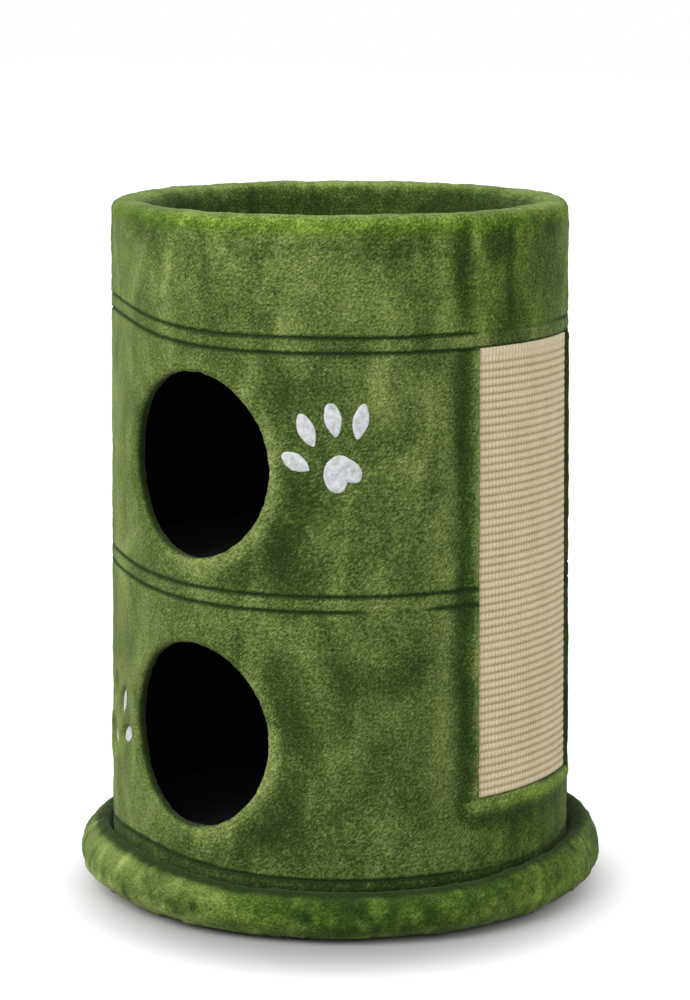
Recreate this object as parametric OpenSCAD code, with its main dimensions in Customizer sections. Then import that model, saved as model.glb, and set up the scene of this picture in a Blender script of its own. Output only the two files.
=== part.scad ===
// Two-storey cat condo: a plush-covered round base carries a board barrel with two caves
// and a sunken, padded lounge on top. A sisal mat is let into the barrel's side.
// Millimetres, +Z up. The origin is on the floor below the barrel's axis; the entrances face -Y.
// A place round the barrel is a turn in degrees: 0 at the entrances, 90 at +X.

/* [Base] */
// Diameter of the base over its plush
base_d = 500; // [490:5:560]
// Thickness of the round base board
base_board_t = 16; // [15:1:25]
// Foam on top of the base board
base_foam_t = 4; // [3:0.5:10]
// Foam between the board's edge and the plush
base_edge_foam = 10; // [6:1:16]
// Thickness of the base's plush, pile included
base_plush_t = 7; // [5:0.5:8]
// Radius of the base's upper edge
base_top_round = 16; // [10:1:18]
// How far the base's padded edge stands above the seat of the barrel
base_puff = 5; // [0:0.5:6]
// Radius of the base's lower edge
base_low_round = 10; // [9:1:12]
// Width of the plush hem turned under the board
base_hem_w = 40; // [30:1:50]
// Thickness of the cloth under the base
underlay_t = 1; // [0.6:0.2:2]
// How far the underlay laps over the plush hem
underlay_lap = 14; // [10:1:16]

/* [Glides] */
// Number of glides under the base
glide_count = 6; // [4:1:8]
// Diameter of a glide
glide_d = 24; // [18:1:24]
// Height of a glide
glide_h = 4; // [3:0.5:8]
// Diameter of a glide's nail
glide_nail_d = 2.4; // [1.8:0.2:3]
// Height of a nail's head
glide_nail_head_h = 1; // [0.8:0.1:1.5]
// How far the nail goes into the board
glide_nail_bite = 10; // [6:1:12]

/* [Barrel] */
// Diameter of the barrel over its plush
barrel_d = 440; // [420:5:460]
// Thickness of the barrel's plush, pile included
plush_t = 7; // [5:0.5:9]
// Wall of the board tube
tube_wall = 5; // [4:0.5:8]
// Thickness of the lining cloth in the caves
lining_t = 1.5; // [1:0.25:3]
// Thickness of the disc that closes the tube's foot
bottom_disc_t = 15; // [15:1:20]
// Thickness of the two floors above it
floor_t = 12; // [10:1:16]
// Height of the lower cave, from the bottom disc to the middle floor
lower_cave_h = 247; // [225:1:280]
// Height of the upper cave, from the middle floor to the lounge floor
upper_cave_h = 232; // [216:1:260]
// Thickness of the carpet in the caves and the lounge
mat_t = 5; // [3:0.5:8]

/* [Seams] */
// Height of each sewn band round the barrel
seam_band_h = 14; // [10:0.5:20]
// How far the upper band starts below the lounge floor
upper_band_drop = 11; // [0:0.5:12]
// Rounding of the plush where it is drawn in by a seam
seam_round = 3; // [1:0.25:4]

/* [Entrances] */
// Clear width of an entrance
entrance_w = 158; // [140:1:168]
// Clear height of an entrance
entrance_h = 171; // [169:1:180]
// Plush turned round the cut edge of an entrance
entrance_lip_t = 7; // [5:0.5:9]
// Middle of the lower entrance above the middle of the lower cave
lower_entrance_rise = -1.5; // [-10:0.5:15]
// Middle of the upper entrance above the middle of the upper cave
upper_entrance_rise = -3; // [-10:0.5:10]

/* [Sisal] */
// Turn of the sisal mat's middle
sisal_turn = 95; // [85:1:110]
// Width of the sisal mat along the barrel's surface
sisal_w = 152; // [100:1:180]
// Gap from the foot band to the sisal mat
sisal_rise = 65; // [30:1:120]
// Thickness of the mat's latex backing
sisal_backing_t = 1.2; // [0.8:0.2:2]
// How far the ribs lie below the plush
sisal_sink = 0.4; // [0:0.1:1]
// Spacing of the woven ribs
sisal_rib_pitch = 7.2; // [6:0.1:12]
// Depth of the groove between two ribs
sisal_rib_depth = 1.6; // [0.8:0.1:2]

/* [Lounge] */
// Height of the rim's crest above the lounge floor
lounge_h = 99; // [90:1:140]
// Foam on the inside of the lounge wall
lounge_pad_t = 21; // [15:1:24]
// Foam over the tube's top edge
lounge_cap_t = 15; // [10:1:20]
// Radius of the rim's outer edge
rim_outer_round = 11; // [10:1:15]
// Radius of the rim's inner edge
rim_inner_round = 18; // [12:1:18]
// Thickness of the loose cushion at its crown
cushion_t = 30; // [20:1:45]
// Thickness of the cushion at its sewn edge
cushion_edge_t = 16; // [10:1:18]
// Gap round the cushion
cushion_gap = 5; // [2:0.5:15]

/* [Paw patches] */
// Thickness of a sewn patch
patch_t = 2; // [1:0.25:3]
// Gap from the upper entrance's lip to its paw
upper_paw_gap = 10; // [4:1:20]
// Gap from the lower entrance's lip to its paw
lower_paw_gap = 4; // [4:1:20]
// Middle of the upper paw above its entrance's middle
upper_paw_rise = 24; // [-20:1:30]
// Middle of the lower paw above its entrance's middle
lower_paw_rise = -7; // [-30:1:20]

/* [Fasteners] */
// Diameter of the bolts that hold the barrel to the base
bolt_d = 8; // [6:1:8]
// Gap round a bolt in the boards
bolt_gap = 0.5; // [0.3:0.1:1]
// Distance of the bolts from the axis
bolt_ring_r = 140; // [110:1:160]
// Number of bolts
bolt_count = 4; // [3:1:6]
// Depth of the pocket for a bolt's head and washer
bolt_pocket_deep = 9; // [8:0.5:10]
// Diameter of a washer
washer_d = 20; // [18:1:24]
// Gap round a washer in its pocket
washer_gap = 1; // [0.5:0.1:2]
// Thickness of a washer
washer_t = 1.6; // [1:0.2:2]
// Diameter of a tee nut's flange
tee_flange_d = 22; // [20:1:26]
// Thickness of a tee nut's flange
tee_flange_t = 1.5; // [1:0.25:2]
// Wall of a tee nut's barrel
tee_wall_t = 1.2; // [0.8:0.1:1.5]
// Height of a tee nut's barrel
tee_barrel_h = 9; // [7:0.5:10]
// Number of screws round each floor
screw_count = 6; // [4:1:6]
// Diameter of a screw's shank
screw_d = 3.5; // [2.5:0.5:4.5]
// Diameter of a screw's head
screw_head_d = 7.6; // [6:0.2:9]
// Height of a screw's head
screw_head_h = 2.4; // [1.6:0.2:2.8]
// How far a screw goes into a floor's edge
screw_bite = 24; // [15:1:35]
// Number of staples round the underlay
staple_count = 24; // [12:1:36]
// Width of a staple's crown
staple_w = 10; // [6:1:12]
// Thickness of the staple wire
staple_wire = 1.2; // [0.8:0.1:1.4]
// How far a staple's legs go into the board
staple_bite = 6; // [4:1:10]

/* [Hidden] */
// Slack between glued layers and round fasteners
glue = 0.2;
slack = 0.1;
over = 1;
arc_steps = 8;
$fn = 96;

// Heights, from the floor up
hem_z = glide_h;
board_z = hem_z + base_plush_t;
board_top_z = board_z + base_board_t;
base_top_z = board_top_z + base_foam_t + base_plush_t;
disc_top_z = base_top_z + bottom_disc_t;
middle_z = disc_top_z + lower_cave_h;
middle_top_z = middle_z + floor_t;
lounge_z = middle_top_z + upper_cave_h;
lounge_top_z = lounge_z + floor_t;
crest_z = lounge_top_z + lounge_h;
tube_top_z = crest_z - plush_t - lounge_cap_t;

// Seam bands run round the barrel at the floors
foot_band_top_z = base_top_z + seam_band_h;
middle_band_z = middle_z + floor_t / 2 - seam_band_h / 2;
middle_band_top_z = middle_band_z + seam_band_h;
upper_band_z = lounge_z - upper_band_drop;
upper_band_top_z = upper_band_z + seam_band_h;

// Radii, from the plush inwards
base_r = base_d / 2;
board_r = base_r - base_plush_t - base_edge_foam;
hem_r = board_r - base_hem_w;
underlay_r = hem_r + underlay_lap;
barrel_r = barrel_d / 2;
puff_in_r = base_r - base_top_round - sqrt(pow(base_top_round, 2) - pow(base_top_round - base_puff, 2));
edge_puff = puff_in_r > barrel_r ? base_puff : 0;
base_edge = [base_r - base_top_round, base_top_z + edge_puff - base_top_round];
tube_r = barrel_r - plush_t;
cover_in_r = tube_r + glue;
tube_in_r = tube_r - tube_wall;
floor_r = tube_in_r - glue;
lining_in_r = floor_r - lining_t;
mat_r = lining_in_r - glue;
pad_in_r = tube_in_r - lounge_pad_t;
well_r = pad_in_r - plush_t;
well_mat_r = well_r - glue;
cushion_r = well_r - cushion_gap;
rim_outer_centre = [barrel_r - rim_outer_round, crest_z - rim_outer_round];
rim_inner_centre = [well_r + rim_inner_round, crest_z - rim_inner_round];

// Entrances
lower_entrance_z = disc_top_z + lower_cave_h / 2 + lower_entrance_rise;
upper_entrance_z = middle_top_z + upper_cave_h / 2 + upper_entrance_rise;
cut_w = entrance_w + 2 * entrance_lip_t;
cut_h = entrance_h + 2 * entrance_lip_t;
lip_turn = asin(cut_w / 2 / barrel_r);

// Sisal mat
sisal_sweep = sisal_w / barrel_r * 180 / PI;
sisal_edge_turn = glue / barrel_r * 180 / PI;
sisal_z = foot_band_top_z + sisal_rise;
sisal_h = upper_band_z - sisal_z;
sisal_r = barrel_r - sisal_sink;
sisal_in_r = cover_in_r + sisal_backing_t + glue;
sisal_ribs = round(sisal_h / sisal_rib_pitch);
rib_steps = 4;

// Paw patches: place along and up the barrel, length, width and lean of each toe
toes = [[-28, -14, 26, 16, 62], [-19, 15, 33, 16, 24], [5, 25, 33, 16, 11], [30, 23, 33, 15, -12]];
pad_place = [14, -24];
pad_size = 17.5;
pad_notch = [300, 0.5];
pad_lobe = [232, 0.1];
paw_half_w = 42;
patch_in_r = barrel_r + glue;
patch_steps = 30;
upper_paw_turn = lip_turn + (upper_paw_gap + paw_half_w) / barrel_r * 180 / PI;
lower_paw_turn = lip_turn + (lower_paw_gap + paw_half_w) / barrel_r * 180 / PI;

// Glides sit on the hem, between the underlay and the board's edge
glide_ring_r = (underlay_r + board_r) / 2;
glide_round = 1.5;
nail_head_d = 3 * glide_nail_d;
nail_top_z = board_z + glide_nail_bite;

// Bolt stack: head, washer, base, bottom disc, tee nut
pocket_z = board_z + bolt_pocket_deep;
pocket_d = washer_d + 2 * washer_gap;
head_flats_d = 1.85 * bolt_d;
head_h = 0.66 * bolt_d;
bolt_seat_z = pocket_z - washer_t;
tee_z = disc_top_z - tee_flange_t - tee_barrel_h;
tee_barrel_d = bolt_d + 2 * tee_wall_t;
bolt_tip_z = disc_top_z - tee_flange_t - over;
bolt_turn = 45;

// Staples hold the underlay and the hem to the board
staple_ring_r = hem_r + underlay_lap / 2;
staple_z = hem_z - underlay_t - staple_wire;

plush_green = [0.33, 0.45, 0.16];
lining_black = [0.05, 0.05, 0.06];
board_brown = [0.68, 0.55, 0.40];
tube_brown = [0.62, 0.48, 0.33];
foam_cream = [0.90, 0.87, 0.76];
sisal_straw = [0.83, 0.75, 0.57];
patch_white = [0.93, 0.93, 0.95];
steel_grey = [0.62, 0.63, 0.65];

// Where the base's padded edge comes down to the seat, at a depth below the plush
function edge_turn(depth) = 180 - asin((base_top_round - edge_puff - depth) / (base_top_round - depth));

function arc(centre, r, from, to) =
  [for (i = [0 : arc_steps]) let (a = from + (to - from) * i / arc_steps) centre + r * [cos(a), sin(a)]];

// Puts a piece on the barrel so that its +X points straight out at that turn
module at_turn(turn) {
  rotate([0, 0, turn - 90]) children();
}

// Copies a piece round the axis
module ring(count, r, first = 0) {
  for (i = [0 : count - 1]) rotate([0, 0, first + i * 360 / count]) translate([r, 0, 0]) children();
}

module disc(r, z0, z1) {
  translate([0, 0, z0]) cylinder(r = r, h = z1 - z0);
}

// A round wall between two radii and two heights
module shell(r_in, r_out, z0, z1) {
  rotate_extrude() translate([r_in, z0]) square([r_out - r_in, z1 - z0]);
}

// The part of a round wall that lies within the sisal mat's sweep
module sector(r_in, r_out, z0, z1, trim = 0) {
  at_turn(sisal_turn - sisal_sweep / 2 + trim)
    rotate_extrude(angle = sisal_sweep - 2 * trim) translate([r_in, z0]) square([r_out - r_in, z1 - z0]);
}

module sisal_window() {
  sector(tube_r - over, barrel_r + over, sisal_z, upper_band_z + over);
}

// An oval bar along -Y, from the axis out past the plush, with round ends on its longer way
module oval_bar(w, h, z) {
  reach = barrel_r + plush_t;
  d = min(w, h);
  middle = w > h ? [w - d, d] : [d, h - d];
  translate([0, 0, z]) rotate([90, 0, 0]) {
    for (side = [-1, 1]) translate([side * (w - d) / 2, side * (h - d) / 2, 0]) cylinder(d = d, h = reach);
    translate([-middle[0] / 2, -middle[1] / 2, 0]) cube([middle[0], middle[1], reach]);
  }
}

// A plush panel round the barrel, drawn in at the seams above and below it
module panel(z0, z1) {
  r = barrel_r - seam_round;
  rotate_extrude() polygon(concat(
    [[cover_in_r, z0]],
    arc([r, z0 + seam_round], seam_round, -90, 0),
    arc([r, z1 - seam_round], seam_round, 0, 90),
    [[cover_in_r, z1]]));
}

// One screw, pointing inwards along -X from the tube's outer face
module screw(r_gain = 0) {
  translate([tube_r - screw_head_h, 0, 0]) rotate([0, 90, 0])
    cylinder(d = screw_head_d + 2 * r_gain, h = screw_head_h + (r_gain > 0 ? over : 0));
  translate([floor_r - screw_bite - r_gain, 0, 0]) rotate([0, 90, 0])
    cylinder(d = screw_d + 2 * r_gain, h = tube_r - screw_head_h - floor_r + screw_bite + r_gain);
}

module floor_screws(z, r_gain = 0) {
  translate([0, 0, z]) ring(screw_count, 0, -90) screw(r_gain);
}

module floor_disc(z0, t) {
  difference() {
    disc(floor_r, z0, z0 + t);
    floor_screws(z0 + t / 2, slack);
  }
}

module base_glides() {
  color("dimgray") ring(glide_count, glide_ring_r) difference() {
    rotate_extrude() polygon(concat(
      [[0, 0]],
      arc([glide_d / 2 - glide_round, glide_round], glide_round, -90, 0),
      [[glide_d / 2, hem_z], [0, hem_z]]));
    translate([0, 0, -over]) cylinder(d = nail_head_d + 2 * slack, h = glide_nail_head_h + over + slack);
    cylinder(d = glide_nail_d + 2 * slack, h = 2 * hem_z);
  }
}

module glide_nails() {
  color(steel_grey) ring(glide_count, glide_ring_r) translate([0, 0, slack]) {
    cylinder(d = nail_head_d, h = glide_nail_head_h);
    cylinder(d = glide_nail_d, h = nail_top_z - slack);
  }
}

module nail_bores() {
  ring(glide_count, glide_ring_r) cylinder(d = glide_nail_d + 2 * slack, h = nail_top_z + slack);
}

module base_underlay() {
  color("darkslategray") difference() {
    disc(underlay_r, hem_z - underlay_t, hem_z);
    ring(bolt_count, bolt_ring_r, bolt_turn) cylinder(d = pocket_d, h = 2 * hem_z);
  }
}

module base_staples() {
  leg_h = board_z + staple_bite - staple_z;
  color(steel_grey) ring(staple_count, staple_ring_r) translate([-staple_wire / 2, 0, staple_z]) {
    translate([0, -staple_w / 2, 0]) cube([staple_wire, staple_w, staple_wire]);
    for (side = [0, 1]) translate([0, side * (staple_w - staple_wire) - staple_w / 2, 0])
      cube([staple_wire, staple_wire, leg_h]);
  }
}

module bolt_bores() {
  ring(bolt_count, bolt_ring_r, bolt_turn) cylinder(d = bolt_d + 2 * bolt_gap, h = tee_z);
}

module base_board() {
  color(board_brown) difference() {
    disc(board_r, board_z, board_top_z);
    bolt_bores();
    ring(bolt_count, bolt_ring_r, bolt_turn) cylinder(d = pocket_d, h = pocket_z);
    nail_bores();
  }
}

module base_foam() {
  r_in = board_r + glue;
  thin = base_plush_t + glue;
  color(foam_cream) difference() {
    rotate_extrude() polygon(concat(
      [[0, board_top_z], [r_in, board_top_z], [r_in, hem_z + thin]],
      arc([base_r - base_low_round, hem_z + base_low_round], base_low_round - thin, -90, 0),
      arc(base_edge, base_top_round - thin, 0, edge_turn(thin)),
      [[0, base_top_z - thin]]));
    bolt_bores();
  }
}

module base_cover() {
  low = [base_r - base_low_round, hem_z + base_low_round];
  color(plush_green) difference() {
    rotate_extrude() polygon(concat(
      [[hem_r, hem_z]],
      arc(low, base_low_round, -90, 0),
      arc(base_edge, base_top_round, 0, edge_turn(0)),
      [[0, base_top_z], [0, base_top_z - base_plush_t]],
      arc(base_edge, base_top_round - base_plush_t, edge_turn(base_plush_t), 0),
      arc(low, base_low_round - base_plush_t, 0, -90),
      [[hem_r, hem_z + base_plush_t]]));
    bolt_bores();
    nail_bores();
  }
}

module base_bolts() {
  color(steel_grey) ring(bolt_count, bolt_ring_r, bolt_turn) {
    translate([0, 0, bolt_seat_z - head_h]) cylinder(d = head_flats_d, h = head_h, $fn = 6);
    translate([0, 0, bolt_seat_z]) cylinder(d = bolt_d, h = bolt_tip_z - bolt_seat_z);
  }
}

module base_washers() {
  color(steel_grey) ring(bolt_count, bolt_ring_r, bolt_turn)
    shell(bolt_d / 2 + slack, washer_d / 2, bolt_seat_z, pocket_z);
}

module base_tee_nuts() {
  color(steel_grey) ring(bolt_count, bolt_ring_r, bolt_turn) difference() {
    union() {
      disc(tee_barrel_d / 2, tee_z, disc_top_z - tee_flange_t);
      disc(tee_flange_d / 2, disc_top_z - tee_flange_t, disc_top_z);
    }
    cylinder(d = bolt_d + slack, h = 2 * disc_top_z);
  }
}

module barrel_tube() {
  color(tube_brown) difference() {
    shell(tube_in_r, tube_r, base_top_z, tube_top_z);
    oval_bar(cut_w, cut_h, lower_entrance_z);
    oval_bar(cut_w, cut_h, upper_entrance_z);
    floor_screws(base_top_z + bottom_disc_t / 2, slack);
    floor_screws(middle_z + floor_t / 2, slack);
    floor_screws(lounge_z + floor_t / 2, slack);
  }
}

module bottom_disc() {
  color(board_brown) difference() {
    floor_disc(base_top_z, bottom_disc_t);
    ring(bolt_count, bolt_ring_r, bolt_turn) {
      cylinder(d = bolt_d + 2 * bolt_gap, h = disc_top_z);
      disc(tee_barrel_d / 2 + slack, tee_z - slack, disc_top_z);
      disc(tee_flange_d / 2 + slack, disc_top_z - tee_flange_t, disc_top_z + over);
    }
  }
}

module middle_floor() {
  color(board_brown) floor_disc(middle_z, floor_t);
}

module lounge_floor() {
  color(board_brown) floor_disc(lounge_z, floor_t);
}

module bottom_disc_screws() {
  color(steel_grey) floor_screws(base_top_z + bottom_disc_t / 2);
}

module middle_floor_screws() {
  color(steel_grey) floor_screws(middle_z + floor_t / 2);
}

module lounge_floor_screws() {
  color(steel_grey) floor_screws(lounge_z + floor_t / 2);
}

module cave_lining(z0, z1, entrance_z) {
  color(lining_black) difference() {
    shell(lining_in_r, floor_r, z0, z1);
    oval_bar(cut_w, cut_h, entrance_z);
  }
}

module lower_cave_lining() {
  cave_lining(disc_top_z, middle_z, lower_entrance_z);
}

module upper_cave_lining() {
  cave_lining(middle_top_z, lounge_z, upper_entrance_z);
}

module lower_cave_mat() {
  color(lining_black) disc(mat_r, disc_top_z, disc_top_z + mat_t);
}

module upper_cave_mat() {
  color(lining_black) disc(mat_r, middle_top_z, middle_top_z + mat_t);
}

module lounge_floor_mat() {
  color(plush_green) disc(well_mat_r, lounge_top_z, lounge_top_z + mat_t);
}

// Foam on the lounge wall and over the tube's top edge
module lounge_wall_foam() {
  seat_z = tube_top_z + glue;
  color(foam_cream) rotate_extrude() polygon(concat(
    [[floor_r, lounge_top_z], [floor_r, seat_z], [tube_r, seat_z]],
    arc(rim_outer_centre, rim_outer_round - plush_t, 0, 90),
    arc(rim_inner_centre, rim_inner_round - plush_t, 90, 180),
    [[pad_in_r, lounge_top_z]]));
}

// Plush from the upper seam over the rim and down to the lounge floor
module lounge_cover() {
  thick = plush_t - glue;
  color(plush_green) rotate_extrude() polygon(concat(
    [[cover_in_r, upper_band_top_z]],
    arc([barrel_r - seam_round, upper_band_top_z + seam_round], seam_round, -90, 0),
    arc(rim_outer_centre, rim_outer_round, 0, 90),
    arc(rim_inner_centre, rim_inner_round, 90, 180),
    [[well_r, lounge_top_z], [well_r + thick, lounge_top_z]],
    arc(rim_inner_centre, rim_inner_round - thick, 180, 90),
    arc(rim_outer_centre, rim_outer_round - thick, 90, 0)));
}

module upper_seam_band() {
  color(plush_green) panel(upper_band_z, upper_band_top_z);
}

module upper_cave_cover() {
  color(plush_green) difference() {
    panel(middle_band_top_z, upper_band_z);
    oval_bar(cut_w, cut_h, upper_entrance_z);
    sisal_window();
  }
}

module middle_seam_band() {
  color(plush_green) difference() {
    panel(middle_band_z, middle_band_top_z);
    sisal_window();
  }
}

module lower_cave_cover() {
  color(plush_green) difference() {
    panel(foot_band_top_z, middle_band_z);
    oval_bar(cut_w, cut_h, lower_entrance_z);
    sisal_window();
  }
}

module foot_band() {
  color(plush_green) panel(base_top_z, foot_band_top_z);
}

// Plush turned round the cut edge of an entrance, from the lining to the barrel's face
module entrance_trim(z) {
  color(plush_green) difference() {
    intersection() {
      oval_bar(cut_w - 2 * glue, cut_h - 2 * glue, z);
      shell(lining_in_r, barrel_r, z - cut_h, z + cut_h);
    }
    oval_bar(entrance_w, entrance_h, z);
  }
}

module upper_entrance_trim() {
  entrance_trim(upper_entrance_z);
}

module lower_entrance_trim() {
  entrance_trim(lower_entrance_z);
}

// Woven ribs run round the barrel, one above the other
module sisal_panel() {
  z0 = sisal_z + glue;
  rib_h = (sisal_h - 2 * glue) / sisal_ribs;
  ribs = [for (k = [0 : sisal_ribs - 1], j = [0 : rib_steps - 1])
    [sisal_r - sisal_rib_depth * (1 - sin(180 * j / rib_steps)), z0 + (k + j / rib_steps) * rib_h]];
  color(sisal_straw) at_turn(sisal_turn - sisal_sweep / 2 + sisal_edge_turn)
    rotate_extrude(angle = sisal_sweep - 2 * sisal_edge_turn) polygon(concat(
      [[sisal_in_r, z0]],
      ribs,
      [[sisal_r - sisal_rib_depth, z0 + sisal_ribs * rib_h], [sisal_in_r, z0 + sisal_ribs * rib_h]]));
}

module sisal_backing() {
  color("wheat")
    sector(cover_in_r, cover_in_r + sisal_backing_t, sisal_z + glue, upper_band_z - glue, sisal_edge_turn);
}

// A flat outline laid on the barrel's face, u along it and v up it, and cut to the patch's thickness
module patch(turn, u, v, z, lean, outline) {
  at_turn(turn + u / barrel_r * 180 / PI) intersection() {
    translate([tube_r, 0, z + v]) rotate([90, 0, 90]) rotate([0, 0, lean])
      linear_extrude(height = 2 * plush_t + patch_t) polygon(outline);
    shell(patch_in_r, patch_in_r + patch_t, z + v - 3 * pad_size, z + v + 3 * pad_size);
  }
}

function toe_outline(length, width) =
  [for (i = [0 : patch_steps - 1]) let (a = 360 * i / patch_steps)
    [width / 2 * sin(a) * (1 + 0.15 * cos(a)), length / 2 * cos(a)]];

// The sole's pad has a notch and a longer lobe beside it, each given as [angle, share of the size]
function pad_outline(side) =
  [for (i = [0 : patch_steps - 1])
    let (a = 360 * i / patch_steps,
      notch = pad_notch[1] * pow(max(0, cos(a - pad_notch[0])), 10),
      lobe = pad_lobe[1] * pow(max(0, cos(a - pad_lobe[0])), 8))
    pad_size * (1 - notch + lobe) * [side * cos(a), sin(a)]];

// Four toes and a pad, as a cat's paw print; side is -1 for the mirrored one
module paw(turn, z, side) {
  color(patch_white) {
    for (t = toes) patch(turn, side * t[0], t[1], z, side * t[4], toe_outline(t[2], t[3]));
    patch(turn, side * pad_place[0], pad_place[1], z, 0, pad_outline(side));
  }
}

module upper_paw_patches() {
  paw(upper_paw_turn, upper_entrance_z + upper_paw_rise, 1);
}

module lower_paw_patches() {
  paw(-lower_paw_turn, lower_entrance_z + lower_paw_rise, -1);
}

// A loose round cushion with a crowned top and a sewn edge
module lounge_cushion() {
  z0 = lounge_top_z + mat_t + glue;
  edge_r = cushion_edge_t / 2;
  flat_r = cushion_r - edge_r;
  crown = [for (i = [1 : arc_steps]) let (s = 1 - i / arc_steps)
    [flat_r * s, z0 + cushion_edge_t + (cushion_t - cushion_edge_t) * pow(1 - s * s, 0.7)]];
  color(plush_green) rotate_extrude() polygon(concat(
    [[0, z0]],
    arc([flat_r, z0 + edge_r], edge_r, -90, 90),
    crown));
}

base_glides();
glide_nails();
base_underlay();
base_staples();
base_board();
base_foam();
base_cover();
base_bolts();
base_washers();
base_tee_nuts();
barrel_tube();
bottom_disc();
middle_floor();
lounge_floor();
bottom_disc_screws();
middle_floor_screws();
lounge_floor_screws();
lower_cave_lining();
upper_cave_lining();
lower_cave_mat();
upper_cave_mat();
lounge_floor_mat();
lounge_wall_foam();
lounge_cover();
upper_seam_band();
upper_cave_cover();
middle_seam_band();
lower_cave_cover();
foot_band();
upper_entrance_trim();
lower_entrance_trim();
sisal_panel();
sisal_backing();
upper_paw_patches();
lower_paw_patches();
lounge_cushion();
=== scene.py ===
import math

import bpy
import numpy as np
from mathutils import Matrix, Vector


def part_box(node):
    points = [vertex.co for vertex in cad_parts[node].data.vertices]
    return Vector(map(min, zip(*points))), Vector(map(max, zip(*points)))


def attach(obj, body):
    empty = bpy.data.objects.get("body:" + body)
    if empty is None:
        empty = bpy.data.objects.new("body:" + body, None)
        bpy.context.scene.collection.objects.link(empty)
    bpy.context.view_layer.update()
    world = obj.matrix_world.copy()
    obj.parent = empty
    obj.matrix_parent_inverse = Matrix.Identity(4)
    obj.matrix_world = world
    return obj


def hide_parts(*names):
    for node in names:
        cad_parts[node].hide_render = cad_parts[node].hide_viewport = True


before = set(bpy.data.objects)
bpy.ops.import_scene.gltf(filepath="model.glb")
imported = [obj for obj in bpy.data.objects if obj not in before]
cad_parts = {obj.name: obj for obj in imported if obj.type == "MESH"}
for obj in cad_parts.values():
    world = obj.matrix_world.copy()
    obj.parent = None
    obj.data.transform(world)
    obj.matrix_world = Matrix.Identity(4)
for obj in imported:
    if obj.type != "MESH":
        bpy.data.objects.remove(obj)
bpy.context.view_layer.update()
mm = 0.001


# Places come from the frame: a node's box gives its heights, and half its width is its radius.
def low(node):
    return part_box(node)[0]


def high(node):
    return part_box(node)[1]


barrel = {
    "radius": high("foot_band")[0],
    "tube": high("barrel_tube")[0],
    "inside": high("lower_cave_lining")[0],
    "footSeam": high("foot_band")[2],
    "middleLow": low("middle_seam_band")[2],
    "middleHigh": high("middle_seam_band")[2],
    "upperLow": low("upper_seam_band")[2],
    "upperHigh": high("upper_seam_band")[2],
    "crest": high("lounge_cover")[2],
    "snug": 0.3 * mm,  # how far the plush lies inside the solid's face at the foot
    "taper": 0.0046,  # and how much further in it is drawn for each metre up
}
sisalSides = [math.degrees(math.acos(-corner[1] / high("sisal_panel")[0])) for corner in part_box("sisal_panel")]
window = {  # where the sisal is let in: its middle and half its sweep in degrees, and its lower edge
    "turn": sum(sisalSides) / 2,
    "half": (sisalSides[1] - sisalSides[0]) / 2,
    "low": low("sisal_panel")[2],
}
entrance = {  # half sizes of the clear oval, and the middle of each one
    "wide": 79 * mm,
    "tall": 85.5 * mm,
    "lip": 7 * mm,
    "aside": 2.5 * mm,  # how far the plush edge is sewn to the right of the hole in the board
    "upper": (low("upper_entrance_trim")[2] + high("upper_entrance_trim")[2]) / 2,
    "lower": (low("lower_entrance_trim")[2] + high("lower_entrance_trim")[2]) / 2,
}


def faceRadius(height):
    rise = np.clip(np.asarray(height) - barrel["footSeam"], 0, None)
    return barrel["radius"] - barrel["snug"] - barrel["taper"] * rise


# Camera, at the photograph's angle
camera = {"turn": 39.5, "reach": 3.032, "height": 0.902, "tilt": 6.5,
          "sensor": 36, "lens": 115.0, "shiftX": 0.005, "shiftY": -0.2}


def placeCamera():
    turn = math.radians(camera["turn"])
    spot = (camera["reach"] * math.sin(turn), -camera["reach"] * math.cos(turn), camera["height"])
    bpy.ops.object.camera_add(location=spot, rotation=(math.radians(90 - camera["tilt"]), 0, turn))
    made = bpy.context.object
    made.data.sensor_width = camera["sensor"]
    made.data.lens = camera["lens"]
    made.data.shift_x = camera["shiftX"]
    made.data.shift_y = camera["shiftY"]
    bpy.context.scene.camera = made


placeCamera()
bpy.context.scene.view_settings.view_transform = "Standard"
print("camera placed")


# Small helpers
def linear(hexColour):
    parts = [int(hexColour[i : i + 2], 16) / 255 for i in (1, 3, 5)]
    return [*(c / 12.92 if c <= 0.04045 else ((c + 0.055) / 1.055) ** 2.4 for c in parts), 1]


# Adds one node: a socket among its inputs is linked, a value is set, and stops are a ramp's (place, colour)
def addNode(tree, kind, inputs=None, out=0, stops=(), **settings):
    made = tree.nodes.new("ShaderNode" + kind)
    for name, value in settings.items():
        setattr(made, name, value)
    for name, value in (inputs or {}).items():
        if isinstance(value, bpy.types.NodeSocket):
            tree.links.new(value, made.inputs[name])
        else:
            made.inputs[name].default_value = value
    while len(stops) > 2 and len(made.color_ramp.elements) < len(stops):
        made.color_ramp.elements.new(0.5)
    for index, (place, colour) in enumerate(stops):
        made.color_ramp.elements[index].position = place
        made.color_ramp.elements[index].color = linear(colour)
    return made.outputs[out]


# A new material with its tree, its shader and the place on the piece; values go straight into the shader
def newMaterial(name, **sockets):
    made = bpy.data.materials.new(name)
    made.use_nodes = True
    shader = made.node_tree.nodes["Principled BSDF"]
    for socket, value in sockets.items():
        shader.inputs[socket.replace("_", " ")].default_value = value
    return made, made.node_tree, shader, addNode(made.node_tree, "TexCoord", out="Object")


def wire(tree, shader, **sockets):
    for socket, value in sockets.items():
        tree.links.new(value, shader.inputs[socket.replace("_", " ")])


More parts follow.
